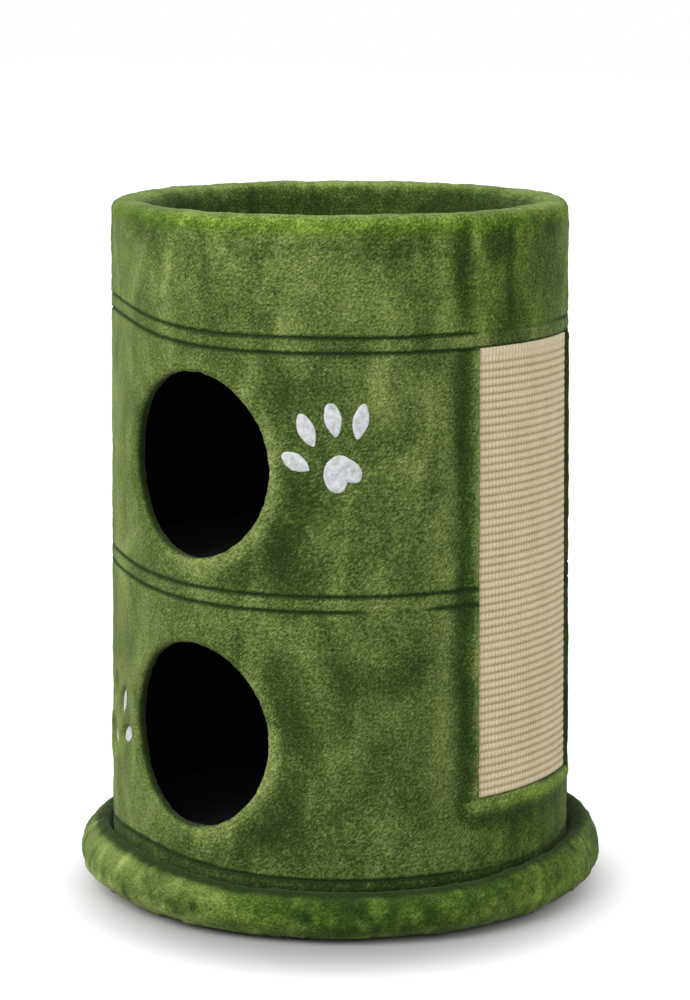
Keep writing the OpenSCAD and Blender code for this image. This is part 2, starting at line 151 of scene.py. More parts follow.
# A plain surface with a mottle of one or two patterns, each (node, share, inputs); the first one is also its relief
def mottled(name, patterns, ramp, bump=None, rough=None, **sockets):
    made, tree, shader, place = newMaterial(name, **sockets)
    parts = [addNode(tree, kind, {"Vector": place, **inputs}) for kind, share, inputs in patterns]
    tone = 0.0
    for part, (kind, share, inputs) in zip(parts, patterns):
        tone = addNode(tree, "Math", {0: part, 1: share, 2: tone}, operation="MULTIPLY_ADD")
    wire(tree, shader, Base_Color=addNode(tree, "ValToRGB", {"Fac": tone}, stops=ramp))
    if bump:
        relief = addNode(tree, "Bump", {"Height": parts[0], "Strength": bump[0], "Distance": bump[1]})
        wire(tree, shader, Normal=relief)
    if rough:
        dull = addNode(tree, "MapRange", {"Value": parts[0], "To Min": rough[0], "To Max": rough[1]})
        wire(tree, shader, Roughness=dull)
    return made


def alone(piece):
    bpy.ops.object.select_all(action="DESELECT")
    piece.select_set(True)
    bpy.context.view_layer.objects.active = piece


def finishWith(piece, kind, **settings):
    alone(piece)
    modifier = piece.modifiers.new(kind, kind)
    for name, value in settings.items():
        setattr(modifier, name, value)
    bpy.ops.object.modifier_apply(modifier=modifier.name)


def points(piece):
    flat = np.empty(len(piece.data.vertices) * 3)
    piece.data.vertices.foreach_get("co", flat)
    return flat.reshape(-1, 3)


def movePoints(piece, places):
    piece.data.vertices.foreach_set("co", np.asarray(places, dtype=float).ravel())
    piece.data.update()


def faceMiddles(piece):
    flat = np.empty(len(piece.data.polygons) * 3)
    piece.data.polygons.foreach_get("center", flat)
    return flat.reshape(-1, 3)


def pickFaces(piece, chosen):
    alone(piece)
    bpy.ops.object.mode_set(mode="EDIT")
    bpy.ops.mesh.select_mode(type="FACE")
    bpy.ops.mesh.select_all(action="DESELECT")
    bpy.ops.object.mode_set(mode="OBJECT")
    piece.data.polygons.foreach_set("select", np.asarray(chosen, dtype=bool))
    bpy.ops.object.mode_set(mode="EDIT")


def leaveEdit():
    bpy.ops.object.mode_set(mode="OBJECT")


def editAll(piece):
    alone(piece)
    bpy.ops.object.mode_set(mode="EDIT")
    bpy.ops.mesh.select_all(action="SELECT")


def markPoints(piece, name, chosen):
    group = piece.vertex_groups.new(name=name)
    group.add([int(i) for i in np.nonzero(chosen)[0]], 1.0, "REPLACE")


def settle(piece, name, material, slot, *nodes, body="condo"):
    piece.name = name
    piece.data.name = name
    piece.data.materials.clear()
    piece.data.materials.append(material)
    alone(piece)
    bpy.ops.object.shade_smooth()
    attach(piece, body)
    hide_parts(*nodes)


def awayOf(places):
    return np.hypot(places[:, 0], places[:, 1])


def turnOf(places):
    return np.degrees(np.arctan2(places[:, 0], -places[:, 1]))


def onBarrel(turn, radius, height):
    turn = np.radians(turn)
    return np.stack([radius * np.sin(turn), -radius * np.cos(turn), height], axis=1)


def hill(x, middle, width):
    return np.exp(-(((x - middle) / width) ** 2))


def within(x):
    return np.clip(x, 0, 1)


# The short way round from one turn to another, in degrees
def turnFrom(turn, middle):
    return (turn - middle + 180) % 360 - 180


def roundedEdge(gap, radius):
    inside = np.clip(radius - gap, 0, radius)
    return radius - np.sqrt(radius**2 - inside**2)


# Even steps from start to end, with finer ones beside the ends that are drawn in
def steps(start, end, step, fine, reach, startFine=True, endFine=True):
    middleStart = start + reach * startFine
    middleEnd = end - reach * endFine
    parts = [np.linspace(middleStart, middleEnd, max(2, round((middleEnd - middleStart) / step) + 1))]
    if startFine:
        parts.insert(0, np.linspace(start, middleStart, max(2, round(reach / fine) + 1))[:-1])
    if endFine:
        parts.append(np.linspace(middleEnd, end, max(2, round(reach / fine) + 1))[1:])
    return np.concatenate(parts)


# A grid whose columns and rows are read back as indexes, ready to be wrapped
def indexedGrid(columns, rows):
    bpy.ops.object.select_all(action="DESELECT")
    bpy.ops.mesh.primitive_grid_add(x_subdivisions=columns - 1, y_subdivisions=rows - 1, size=2)
    piece = bpy.context.object
    places = points(piece)
    column = np.rint((places[:, 0] + 1) / 2 * (columns - 1)).astype(int)
    row = np.rint((places[:, 1] + 1) / 2 * (rows - 1)).astype(int)
    return piece, column, row


# Faces on the front that lie inside an oval, from the middles of the faces
def inOval(middles, aside, height, wide, tall):
    return (np.hypot((middles[:, 0] - aside) / wide, (middles[:, 2] - height) / tall) < 1) & (middles[:, 1] < 0)


def closeSeam(piece):
    editAll(piece)
    bpy.ops.mesh.remove_doubles(threshold=0.05 * mm)
    leaveEdit()


def dropFaces(piece, chosen):
    pickFaces(piece, chosen)
    bpy.ops.mesh.delete(type="FACE")
    leaveEdit()


# Gives a skin its thickness; the hidden side is then thinned out, and the face side is marked for the pile
def backSkin(piece, thickness, keep=0.06):
    skin = len(piece.data.vertices)
    finishWith(piece, "SOLIDIFY", thickness=thickness, offset=-1, use_rim=True)
    loops = np.empty(len(piece.data.loops), dtype=int)
    piece.data.loops.foreach_get("vertex_index", loops)
    starts = np.empty(len(piece.data.polygons), dtype=int)
    piece.data.polygons.foreach_get("loop_start", starts)
    hidden = np.minimum.reduceat(loops, starts) >= skin
    markPoints(piece, "pile", np.ones(skin))
    pickFaces(piece, hidden)
    bpy.ops.mesh.decimate(ratio=keep)
    leaveEdit()


# Pushes the face side in and out by cloud noise: (size of a lump, height), both in metres
def ruffle(piece, *lumps):
    for size, height in lumps:
        name = f"clouds {size / mm:.1f} mm"
        clouds = bpy.data.textures.get(name) or bpy.data.textures.new(name, "CLOUDS")
        clouds.noise_scale = size
        clouds.noise_depth = 1
        finishWith(piece, "DISPLACE", texture=clouds, strength=height, mid_level=0.5, texture_coords="LOCAL",
                   vertex_group="pile" if "pile" in piece.vertex_groups else "")


# The way the pile lies, with painted light and shade: strokes of a hand over the plush, as (turn, height, half
# width, half height, tone)
def strokePile(piece, strokes, extra=None, crisp=1.0, rich=0.0):
    places = points(piece)
    turn, height = turnOf(places), places[:, 2]
    tone = np.zeros(len(places)) if extra is None else np.array(extra, dtype=float)
    for middle, level, wide, tall, strength in strokes:
        across = np.radians(turnFrom(turn, middle)) * barrel["radius"]
        tone += strength * np.exp(-((across / wide) ** 2) - ((height - level) / tall) ** 2)
    leftSide, leftSideAt, leftSideWide = plushLook["leftSide"]
    layers = {"pileTone": tone, "pileCrisp": crisp * (1 - leftSide * hill(turn, leftSideAt, leftSideWide)),
              "pileRich": np.zeros(len(places)) + rich}  # deeper green where the pile stands up
    for name, values in layers.items():
        piece.data.attributes.new(name, "FLOAT", "POINT").data.foreach_set("value", values)
    # Round, up and out, so that the grain follows the face
    lie = np.stack([np.radians(turn) * barrel["radius"], height, awayOf(places)], axis=1)
    piece.data.attributes.new("pileAt", "FLOAT_VECTOR", "POINT").data.foreach_set("vector", lie.ravel())


# Loose tufts, light and dark by chance, each a few millimetres wide and tall
def tufts(seed, count, heights, strength, wide=(3, 7), tall=(3, 6)):
    chance = np.random.default_rng(seed)
    return [(chance.uniform(-180, 180), chance.uniform(*heights), chance.uniform(*wide) * mm,
             chance.uniform(*tall) * mm, chance.normal(0, strength)) for i in range(count)]


# Short-pile plush: knitted polyester with a brushed pile. It is matt, pebbly from its curled tufts, and light or
# dark in crisp patches as the pile was stroked, with painted light and shade on top. Single fibres are too fine to
# show, so the tufts are drawn instead.
plushLook = {
    "ramp": [(0.0, "#22310d"), (0.3, "#37491a"), (0.52, "#566631"), (0.78, "#7a894a"), (1.0, "#9ba760")],
    "rich": "#e6ff9e", "sheen": "#b9c79a", "bump": (0.6, 1.4 * mm),
    "size": {"patch": 42 * mm, "clump": 8 * mm, "grain": 2 * mm, "fleck": 1.5 * mm, "knit": 4.2 * mm},
    "share": {"patch": 0.8, "clump": 0.3, "grain": 0.65, "fleck": 0.92, "knit": 0.05},
    "leftSide": (0.6, -38, 30),  # worn smooth on the left of the entrances: share, turn and spread
}


def plushMaterial():
    made, tree, shader, place = newMaterial(
        "short-pile plush", Roughness=0.95, Sheen_Weight=0.2, Sheen_Roughness=0.45,
        Sheen_Tint=linear(plushLook["sheen"]), Specular_IOR_Level=0.15)
    size, share = plushLook["size"], plushLook["share"]
    upright = addNode(tree, "Mapping", {"Vector": place, "Scale": (1, 1, 0.55)})
    patch = addNode(tree, "TexNoise", {"Vector": upright, "Scale": 1 / size["patch"], "Detail": 2.5,
                                       "Roughness": 0.5, "Distortion": 0.8})
    clump = addNode(tree, "TexNoise", {"Vector": place, "Scale": 1 / size["clump"], "Detail": 2.0,
                                       "Roughness": 0.6, "Distortion": 0.5})
    grain = addNode(tree, "TexNoise", {"Vector": place, "Scale": 1 / size["grain"], "Detail": 1.0,
                                       "Roughness": 0.6})
    lie = addNode(tree, "Attribute", out="Vector", attribute_name="pileAt")
    slant = addNode(tree, "Mapping", {"Vector": lie, "Rotation": (0, 0, 0.6), "Scale": (2.2, 1, 1)},
                    vector_type="TEXTURE")
    fleck = addNode(tree, "TexNoise", {"Vector": slant, "Scale": 1 / size["fleck"], "Detail": 1.0})
    knit = addNode(tree, "TexWave", {"Vector": place, "Scale": math.tau / 20 / size["knit"], "Distortion": 5.0,
                                     "Detail": 2.0, "Detail Scale": 1.5}, out="Fac", bands_direction="Z")
    stroke, crisp, rich = [addNode(tree, "Attribute", out="Fac", attribute_name=name)
                           for name in ("pileTone", "pileCrisp", "pileRich")]
    fine = -(share["clump"] + share["grain"] + share["fleck"] + share["knit"]) / 2
    for name, part in {"clump": clump, "grain": grain, "fleck": fleck, "knit": knit}.items():
        fine = addNode(tree, "Math", {0: part, 1: share[name], 2: fine}, operation="MULTIPLY_ADD")
    coarse = addNode(tree, "Math", {0: patch, 1: share["patch"], 2: 0.5 - share["patch"] / 2},
                     operation="MULTIPLY_ADD")
    # pileTone carries the strokes of the pile and the painted light and shade
    coarse = addNode(tree, "Math", {0: coarse, 1: stroke}, operation="ADD")
    tone = addNode(tree, "Math", {0: fine, 1: crisp, 2: coarse}, operation="MULTIPLY_ADD")
    colour = addNode(tree, "ValToRGB", {"Fac": tone}, stops=plushLook["ramp"])
    colour = addNode(tree, "Mix", {0: rich, 6: colour, 7: linear(plushLook["rich"])}, out=2,
                     data_type="RGBA", blend_type="MULTIPLY")
    height = addNode(tree, "Math", {0: grain, 1: 0.6, 2: fleck}, operation="MULTIPLY_ADD")
    strength, distance = plushLook["bump"]
    bump = addNode(tree, "Bump", {"Height": height, "Strength": strength, "Distance": distance})
    wire(tree, shader, Base_Color=colour, Normal=bump)
    return made


plush = plushMaterial()
print("plush ready")


# Where a hand or the sewing pulled the plush, the seams climb on the left of the entrances: turn, spread, climb
pull = {"foot": (-25, 29, 13.5 * mm), "middle": (-40, 28, 13.5 * mm), "upper": (-38, 27, 21 * mm)}


def climb(turn, seam):
    middle, spread, height = pull[seam]
    return height * hill(turnFrom(turn, 0), middle, spread)


# Stretches where a crease closes up: the middle and half the length, in degrees; what is left of it, and the change
closedCrease = {"middle": (53, 9), "upper": (92, 19), "foot": (92, 24), "left": 0.1, "fade": 6}


def creaseShare(turn, seam):
    if seam is None:
        return np.ones(len(turn))
    middle, half = closedCrease[seam]
    left = closedCrease["left"]
    return left + (1 - left) * within((np.abs(turnFrom(turn, middle)) - half) / closedCrease["fade"] + 0.5)


# Paw prints sewn into the plush: each toe is (along, up, length, width, lean in degrees), in millimetres
paw = {
    "toes": [(-29, -14, 29, 16, 62), (-19, 15, 33, 16, 24), (5, 25, 33, 16, 11), (30, 23, 33, 15, -12)],
    "sole": (14, -24, 17.5), "soleDent": (36, 36, 0),
    "notch": (300, 0.5, 10), "lobe": (232, 0.1, 8), "flat": (58, 0.15, 6),  # of the sole: way, depth and sharpness
    "point": 0.26, "blunt": 0.14,  # each toe comes to a point below, and is a little narrower above
    "rise": 1.3 * mm, "dentEdge": (1.1, 0.2), "ringAt": (1.32, 0.18),
    "upper": {"turn": 36.55, "height": entrance["upper"] + 24 * mm, "side": 1, "sunk": 0.1 * mm, "ring": 0.4 * mm},
    "lower": {"turn": -35.0, "height": entrance["lower"] - 7 * mm, "side": -1, "sunk": 4.2 * mm, "ring": 1.4 * mm},
}


# The pile is pressed down under each pad and stands up round it
def pawDent(turn, height, mark):
    along = mark["side"] * np.radians(turn - mark["turn"]) * barrel["radius"] / mm
    up = (height - mark["height"]) / mm
    edge, fade = paw["dentEdge"]
    dent = np.zeros(len(turn))
    for middleAlong, middleUp, length, width, lean in [*paw["toes"], (*paw["sole"][:2], *paw["soleDent"])]:
        lean = math.radians(lean)
        a, b = along - middleAlong, up - middleUp
        side = (a * math.cos(lean) + b * math.sin(lean)) / width
        rise = (b * math.cos(lean) - a * math.sin(lean)) / length
        reach = np.hypot(side, rise) * 2
        dent = np.minimum(dent, -(mark["sunk"] + paw["rise"]) * within((edge - reach) / fade))
        dent += mark["ring"] * hill(reach, *paw["ringAt"])
    return dent


# The plush panels round the barrel, and how they are drawn in at the seams
panels = {
    "step": 2.05 * mm, "fine": 0.9 * mm, "seamReach": 8 * mm, "bayReach": 12 * mm, "thick": 6.3 * mm,
    "tuck": 1.2 * mm, "tuckDepth": 0.7 * mm,  # the edge that goes in behind the next panel
    # seamLine and seamDark paint shade along each seam's crease: its half width and how dark
    "seamRound": 3 * mm, "seamDepth": 0.45, "seamLine": 1.9 * mm, "seamDark": 0.64,
    "lumps": [(26 * mm, 1.3 * mm), (9 * mm, 0.8 * mm), (3.4 * mm, 0.5 * mm)],
}
# Round the sisal the plush stands up in a roll, wider below it, with a valley beyond; a highlight is painted on the
# roll, turning to painted shade on the far side, and shade is painted in the valley
bay = {
    "roll": 2.4 * mm, "rollAt": 6 * mm, "rollWide": 5.5 * mm, "farRoll": 1.7, "edgeRound": 4 * mm,
    "fuller": 4 * mm, "fullerFade": 4 * mm,
    "valley": 1.8 * mm, "valleyAt": 19 * mm, "valleyWide": 8 * mm, "valleyLower": 1.4,
    "light": 0.24, "lightAt": 4 * mm, "lightWide": 5 * mm, "farShade": 0.64, "farFade": 3 * mm,
    "dark": 0.37, "darkAt": 17.5 * mm, "darkWide": 10.5 * mm, "lessBelow": 0.1, "lessFar": 0.14,
    "rich": 0.65, "richWide": 22,
}
# Painted light low on the right of each entrance, with a ring of painted shade beyond, by shares of the oval's size
mouth = {"across": 0.85, "down": 0.5, "light": 0.2, "lightEnd": 1.22, "lightFade": 0.08,
         "dark": 0.16, "darkAt": 1.38, "darkWide": 0.16}


def windowGap(turn, height, lower):
    across = (np.abs(turnFrom(turn, window["turn"])) - window["half"]) * math.pi / 180 * barrel["radius"]
    return np.hypot(np.clip(across, 0, None), np.clip(lower - height, 0, None))


def barrelPanel(name, node, bottom, top, lowSeam, highSeam, closedLow=None, closedHigh=None, opening=None,
                windowBase=None, mark=None, tuck=0, shade=0.0, strokes=()):
    perMetre = 180 / math.pi / barrel["radius"]
    step, fine = panels["step"] * perMetre, panels["fine"] * perMetre
    left, right = window["turn"] - window["half"], window["turn"] + window["half"]
    reach = panels["bayReach"] * perMetre
    notched = windowBase is not None and windowBase > bottom
    if windowBase is None:
        turns = np.linspace(-180, 180, round(360 / step) + 1)
    elif notched:
        turns = np.concatenate([steps(-180, left, step, fine, reach, startFine=False)[:-1],
                                steps(left, right, step * 4, fine, 2 * mm * perMetre)[:-1],
                                steps(right, 180, step, fine, reach, endFine=False)])
    else:
        turns = steps(right, left + 360, step, fine, reach)
    seamReach = min(panels["seamReach"], (top - bottom) / 2.5)
    levels = [bottom, windowBase, top] if notched else [bottom, top]
    rows = [steps(a, b, panels["step"], panels["fine"], seamReach)[:-1] for a, b in zip(levels, levels[1:])]
    rows = np.concatenate([*rows, [top]])
    if tuck:
        rows = np.concatenate([[bottom - tuck], rows, [top + tuck]])
    piece, column, row = indexedGrid(len(turns), len(rows))
    turn, share = turns[column], (rows[row] - bottom) / (top - bottom)
    lowEdge = bottom + (climb(turn, lowSeam) if lowSeam else 0)
    highEdge = top + (climb(turn, highSeam) if highSeam else 0)
    height = lowEdge + share * (highEdge - lowEdge)
    drawn, tone = 0.0, shade
    # Each seam is drawn in, and painted shade darkens the line of its crease
    for closed, edge, gap in ((closedLow, lowEdge, height - lowEdge), (closedHigh, highEdge, highEdge - height)):
        crease = creaseShare(turn, closed)
        drawn = drawn + crease * roundedEdge(gap, panels["seamRound"])
        tone = tone - panels["seamDark"] * crease * hill(height, edge, panels["seamLine"])
    tucked = (share < -1e-4) | (share > 1 + 1e-4)
    face = faceRadius(height) - panels["seamDepth"] * drawn - panels["tuckDepth"] * tucked
    rich = 0.0
    if windowBase is not None:
        gap = windowGap(turn, height, windowBase)
        aside = turnFrom(turn, window["turn"])
        far = aside > 0
        below = within((windowBase - height) / bay["fullerFade"])
        fuller = bay["fuller"] * below
        roll = bay["roll"] * np.where(far, bay["farRoll"], 1)
        face += roll * hill(gap, bay["rollAt"] + fuller, bay["rollWide"] + fuller)
        face -= bay["valley"] * hill(gap, bay["valleyAt"] + bay["valleyLower"] * fuller, bay["valleyWide"])
        face -= roundedEdge(gap, bay["edgeRound"])
        # Painted highlight on the roll, painted shade beside it on the far side and in the valley beyond
        beside = far * within((height - windowBase) / bay["farFade"] + 1)
        light = bay["light"] - bay["farShade"] * beside
        tone += light * hill(gap, bay["lightAt"] + fuller, bay["lightWide"] + fuller)
        dark = bay["dark"] - (bay["lessBelow"] + bay["lessFar"] * far) * below
        tone -= dark * hill(gap, bay["darkAt"] + fuller, bay["darkWide"])
        rich = bay["rich"] * below * hill(aside, 0, bay["richWide"])
    if opening is not None:
        # Painted highlight low on the right of the entrance and a ring of painted shade beyond it
        across = (onBarrel(turn, barrel["radius"], height)[:, 0] - entrance["aside"]) / entrance["wide"]
        up = (height - opening) / entrance["tall"]
        ring = np.hypot(across, up)
        side = within((mouth["across"] * across - mouth["down"] * up) / ring) * (np.cos(np.radians(turn)) > 0)
        tone += side * (mouth["light"] * within((mouth["lightEnd"] - ring) / mouth["lightFade"])
                        - mouth["dark"] * hill(ring, mouth["darkAt"], mouth["darkWide"]))
    if mark is not None:
        face += pawDent(turn, height, mark)
    movePoints(piece, onBarrel(turn, face, height))
    strokePile(piece, strokes, tone, rich=rich)
    middles = faceMiddles(piece)
    cut = np.zeros(len(middles), dtype=bool)
    if notched:
        inBay = np.abs(turnFrom(turnOf(middles), window["turn"])) < window["half"]
        cut |= inBay & (middles[:, 2] > windowBase)
    if opening is not None:
        wide, tall = entrance["wide"] + entrance["lip"], entrance["tall"] + entrance["lip"]
        cut |= inOval(middles, entrance["aside"], opening, wide, tall)
    if cut.any():
        dropFaces(piece, cut)
    if windowBase is None or notched:
        closeSeam(piece)
    backSkin(piece, panels["thick"], keep=0.06 if tuck else 0.4)
    ruffle(piece, *panels["lumps"])
    settle(piece, name, plush, "plush", node)
    length, wide = (turns[-1] - turns[0]) / perMetre, top - bottom
    area = length * wide
    if notched:
        area -= 2 * window["half"] / perMetre * (top - windowBase)
    if opening is not None:
        area -= math.pi * entrance["wide"] * entrance["tall"]


barrelPanel("lower_cave_plush", "lower_cave_cover", barrel["footSeam"], barrel["middleLow"], "foot", "middle",
            closedLow="foot", closedHigh="middle", opening=entrance["lower"], windowBase=window["low"],
            mark=paw["lower"], tuck=panels["tuck"],
            strokes=[(48, 0.245, 0.06, 0.018, -0.12), (40, 0.22, 0.006, 0.04, -0.1), (65.5, 0.2, 0.018, 0.1, 0.2),
                     (33, 0.085, 0.02, 0.028, -0.12), (88, 0.085, 0.08, 0.02, -0.1), (20, 0.1, 0.05, 0.03, -0.06),
                     (-36, 0.18, 0.1, 0.2, 0.14), (24.6, 0.22, 0.02, 0.075, -0.14),
                     (26, 0.097, 0.035, 0.02, -0.12), (46, 0.2, 0.08, 0.1, -0.08)])
barrelPanel("upper_cave_plush", "upper_cave_cover", barrel["middleHigh"], barrel["upperLow"], "middle", "upper",
            opening=entrance["upper"], windowBase=0.0, mark=paw["upper"], tuck=panels["tuck"],
            strokes=[(30, 0.492, 0.02, 0.02, -0.16), (36, 0.505, 0.03, 0.012, -0.12), (52, 0.505, 0.04, 0.025, 0.1),
                     (27, 0.415, 0.018, 0.018, -0.14), (50, 0.372, 0.009, 0.035, -0.14),
                     (27, 0.345, 0.026, 0.028, -0.26), (54, 0.39, 0.03, 0.03, 0.12), (-36, 0.42, 0.1, 0.16, 0.2),
                     (65, 0.41, 0.016, 0.09, 0.14)])
barrelPanel("middle_band_plush", "middle_seam_band", barrel["middleLow"], barrel["middleHigh"], "middle", "middle",
            closedLow="middle", windowBase=0.0, shade=0.04)
barrelPanel("upper_band_plush", "upper_seam_band", barrel["upperLow"], barrel["upperHigh"], "upper", "upper",
            closedHigh="upper", shade=0.04)
# The foot band is darker overall, with painted shade along its foot where it meets the base
barrelPanel("foot_band_plush", "foot_band", low("foot_band")[2], barrel["footSeam"], None, "foot",
            closedHigh="foot", shade=-0.24,
            strokes=[(turn, low("foot_band")[2], 0.1, 5 * mm, -0.5) for turn in range(-180, 180, 40)])
print("barrel panels wrapped")


# A skin spun from a row of (radius, height) points; a point on the axis closes it there
def spunSkin(profile, columns):
    radius, height = np.array(profile).T
    turns = np.linspace(-180, 180, columns + 1)
    piece, column, row = indexedGrid(len(turns), len(radius))
    movePoints(piece, onBarrel(turns[column], radius[row], height[row]))
    closeSeam(piece)
    return piece


def arcPoints(middle, radius, start, end, count):
    angles = np.radians(np.linspace(start, end, count))
    return [(middle[0] + radius * math.cos(a), middle[1] + radius * math.sin(a)) for a in angles]


def linePoints(start, end, step):
    count = max(2, round(math.dist(start, end) / step) + 1)
    return [tuple(p) for p in np.linspace(start, end, count)]


# The lounge's plush: up from the upper seam, over the padded rim and down to the lounge floor
rim = {
    "outerRound": 11 * mm, "innerRound": 18 * mm, "step": 2.3 * mm, "fine": 0.9 * mm, "fineReach": 8 * mm,
    "columns": 620, "thick": 6 * mm, "lumps": [(45 * mm, 2.6 * mm), (11 * mm, 1.4 * mm), (3.6 * mm, 0.8 * mm)],
    "brushLitReach": 13 * mm, "brushLitFade": 5 * mm,  # the pile is brushed up over the rim and a highlight is painted on it, this far down its outside
    "ragged": 1.3 * mm, "waves": (5, 9, 16, 29, 47),  # unevenness of that edge, in waves round the rim
    # The outside is lighter, the brushed band gets a painted highlight, and painted shade falls down into the well
    "outsideLight": 0.07, "brushHighlight": 0.15, "crestFade": 16 * mm,
    "wellDark": 0.3, "wellReach": 9 * mm, "wellFade": 7 * mm,
    "rich": 0.95, "richAt": 8.5 * mm, "richWide": 9 * mm, "richSide": 0.6, "sideTurn": 90, "sideSpread": 26,
    "tufts": (41, 260, (0.625, 0.66), 0.07),
    "strokes": [
        (70, 0.6, 0.011, 0.05, -0.42), (72, 0.57, 0.012, 0.025, -0.2), (74, 0.632, 0.006, 0.016, 0.3),
        (81, 0.625, 0.016, 0.014, -0.3), (104, 0.635, 0.016, 0.009, -0.32), (85, 0.59, 0.006, 0.05, -0.28),
        (94, 0.60, 0.05, 0.06, -0.12), (65, 0.58, 0.012, 0.03, 0.1), (45, 0.575, 0.06, 0.022, 0.1),
        (30, 0.575, 0.012, 0.012, -0.16), (22, 0.56, 0.01, 0.01, -0.14), (20, 0.61, 0.02, 0.03, -0.08),
        (40, 0.625, 0.12, 0.009, -0.1), (-20, 0.6, 0.07, 0.05, 0.06), (55, 0.62, 0.012, 0.02, -0.12),
        (54, 0.634, 0.06, 0.018, -0.12), (-12, 0.64, 0.06, 0.022, -0.11),
    ],
}


def loungePlush():
    radius, crest, start = barrel["radius"], barrel["crest"], barrel["upperHigh"]
    well = high("lounge_floor_mat")[0] + 0.2 * mm
    floor = low("lounge_floor_mat")[2]
    outer = (radius - rim["outerRound"], crest - rim["outerRound"])
    inner = (well + rim["innerRound"], crest - rim["innerRound"])
    upright = steps(start, outer[1], rim["step"], rim["fine"], rim["fineReach"], endFine=False)[:-1]
    rows = [(radius, start - panels["tuck"])] + [(radius, z) for z in upright]
    rows += arcPoints(outer, rim["outerRound"], 0, 90, 11) + arcPoints(inner, rim["innerRound"], 90, 180, 13)
    rows += linePoints((well, inner[1]), (well, floor), rim["step"])[1:]
    piece = spunSkin(rows, rim["columns"])
    places = points(piece)
    turn, height = turnOf(places), places[:, 2]
    away = awayOf(places)
    outside = away > radius - 0.1 * mm
    lift = climb(turn, "upper") * within((outer[1] - height) / (outer[1] - start)) * outside
    crease = creaseShare(turn, "upper") * outside
    seam = crease * panels["seamDepth"] * roundedEdge(height - start, panels["seamRound"])
    seam += panels["tuckDepth"] * (height < start - 0.1 * mm)
    drawn = (radius - faceRadius(height)) * within((away - well) / (radius - well))
    ragged = sum(np.sin(np.radians(turn) * count + count) for count in rim["waves"]) * rim["ragged"]
    brushedLit = within((height - crest + rim["brushLitReach"] + ragged) / rim["brushLitFade"])
    onCrest = within((away - well) / rim["crestFade"])
    # Lighter on the outside, a painted highlight over the crest, painted shade along the upper seam and down into
    # the well
    tone = rim["outsideLight"] * outside + rim["brushHighlight"] * brushedLit * onCrest
    tone -= panels["seamDark"] * crease * hill(height, start, panels["seamLine"])
    tone -= rim["wellDark"] * within((well + rim["wellReach"] - away) / rim["wellFade"])
    rich = rim["rich"] * hill(height, crest - rim["richAt"], rim["richWide"]) * onCrest
    rich = np.minimum(rich + rim["richSide"] * outside * hill(turn, rim["sideTurn"], rim["sideSpread"]), 1)
    movePoints(piece, onBarrel(turn, away - seam - drawn, height + lift))
    strokePile(piece, rim["strokes"] + tufts(*rim["tufts"]), tone, rich=rich)
    backSkin(piece, rim["thick"])
    ruffle(piece, *rim["lumps"])
    settle(piece, "lounge_plush", plush, "plush", "lounge_cover")


loungePlush()
print("lounge rim padded")


# The base's plush: under the board, round the puffed edge and over the top to the middle
base = {
    "topRound": 16 * mm, "lowRound": 14 * mm, "step": 2.2 * mm, "columns": 700, "thick": 5.5 * mm, "hem": 193 * mm,
    "lumps": [(40 * mm, 3 * mm), (11 * mm, 1.8 * mm), (3.6 * mm, 1.1 * mm)],
    "facing": 39.5,  # the turn that its front, left and right go by, which is the camera's turn
    "front": -1.5 * mm, "left": 8 * mm, "right": 13 * mm,  # puff of the edge at the front and on its two sides
    "puffFrom": 25, "puffFade": 45, "puffAt": 14 * mm, "puffWide": 12 * mm,
    "brim": 4 * mm, "brimAt": 4 * mm, "brimWide": 9 * mm, "brimClimb": 0.6,  # rise against the barrel's foot
    "brimClear": 0.3 * mm, "brimFade": 2.5 * mm,
    "curl": 1.6 * mm, "curlAt": 6 * mm, "curlWide": 9 * mm,  # lift of the lower edge
    "pulled": (2 * mm, 12 * mm, 6 * mm),  # and how far it is drawn in at the front, left and right
    "pulledLeft": (-65, 32), "pulledRight": (62, 30), "pulledFrom": 24 * mm, "pulledFade": 20 * mm,
    "litEnd": (16, 14), "litStart": (-160, 90),  # painted light: paler on the lit left of the entrances: turn and fade of each end
    # Painted light and shade: crest and lower edge lighter on the lit left, crest darker elsewhere, painted shade
    # at the barrel's foot and on the right of the top, painted light along the hem
    "litCrest": 0.26, "crestDark": 0.1, "crestAt": 9 * mm, "crestWide": 11 * mm,
    "litEdge": 0.34, "litEdgeFrom": 30 * mm, "litEdgeFade": 14 * mm,
    "footDark": 0.75, "footReach": 11 * mm, "footFade": 5 * mm,
    "rightDark": 0.25, "rightTurn": (80, 45), "hemLight": 0.06, "hemFrom": 14 * mm, "hemFade": 8 * mm,
    "crisp": 0.75, "rich": 0.6, "litRich": 0.45,
    "tufts": (17, 1500, (0.0, 0.055), 0.1, (2.5, 5), (3.5, 8)),
    "strokes": [(46, 0.02, 0.07, 0.025, -0.12), (10, 0.03, 0.1, 0.05, -0.04), (-30, 0.04, 0.06, 0.05, 0.05),
                (88, 0.035, 0.04, 0.04, 0.16), (110, 0.04, 0.04, 0.03, 0.22), (68, 0.02, 0.035, 0.03, -0.15)],
}


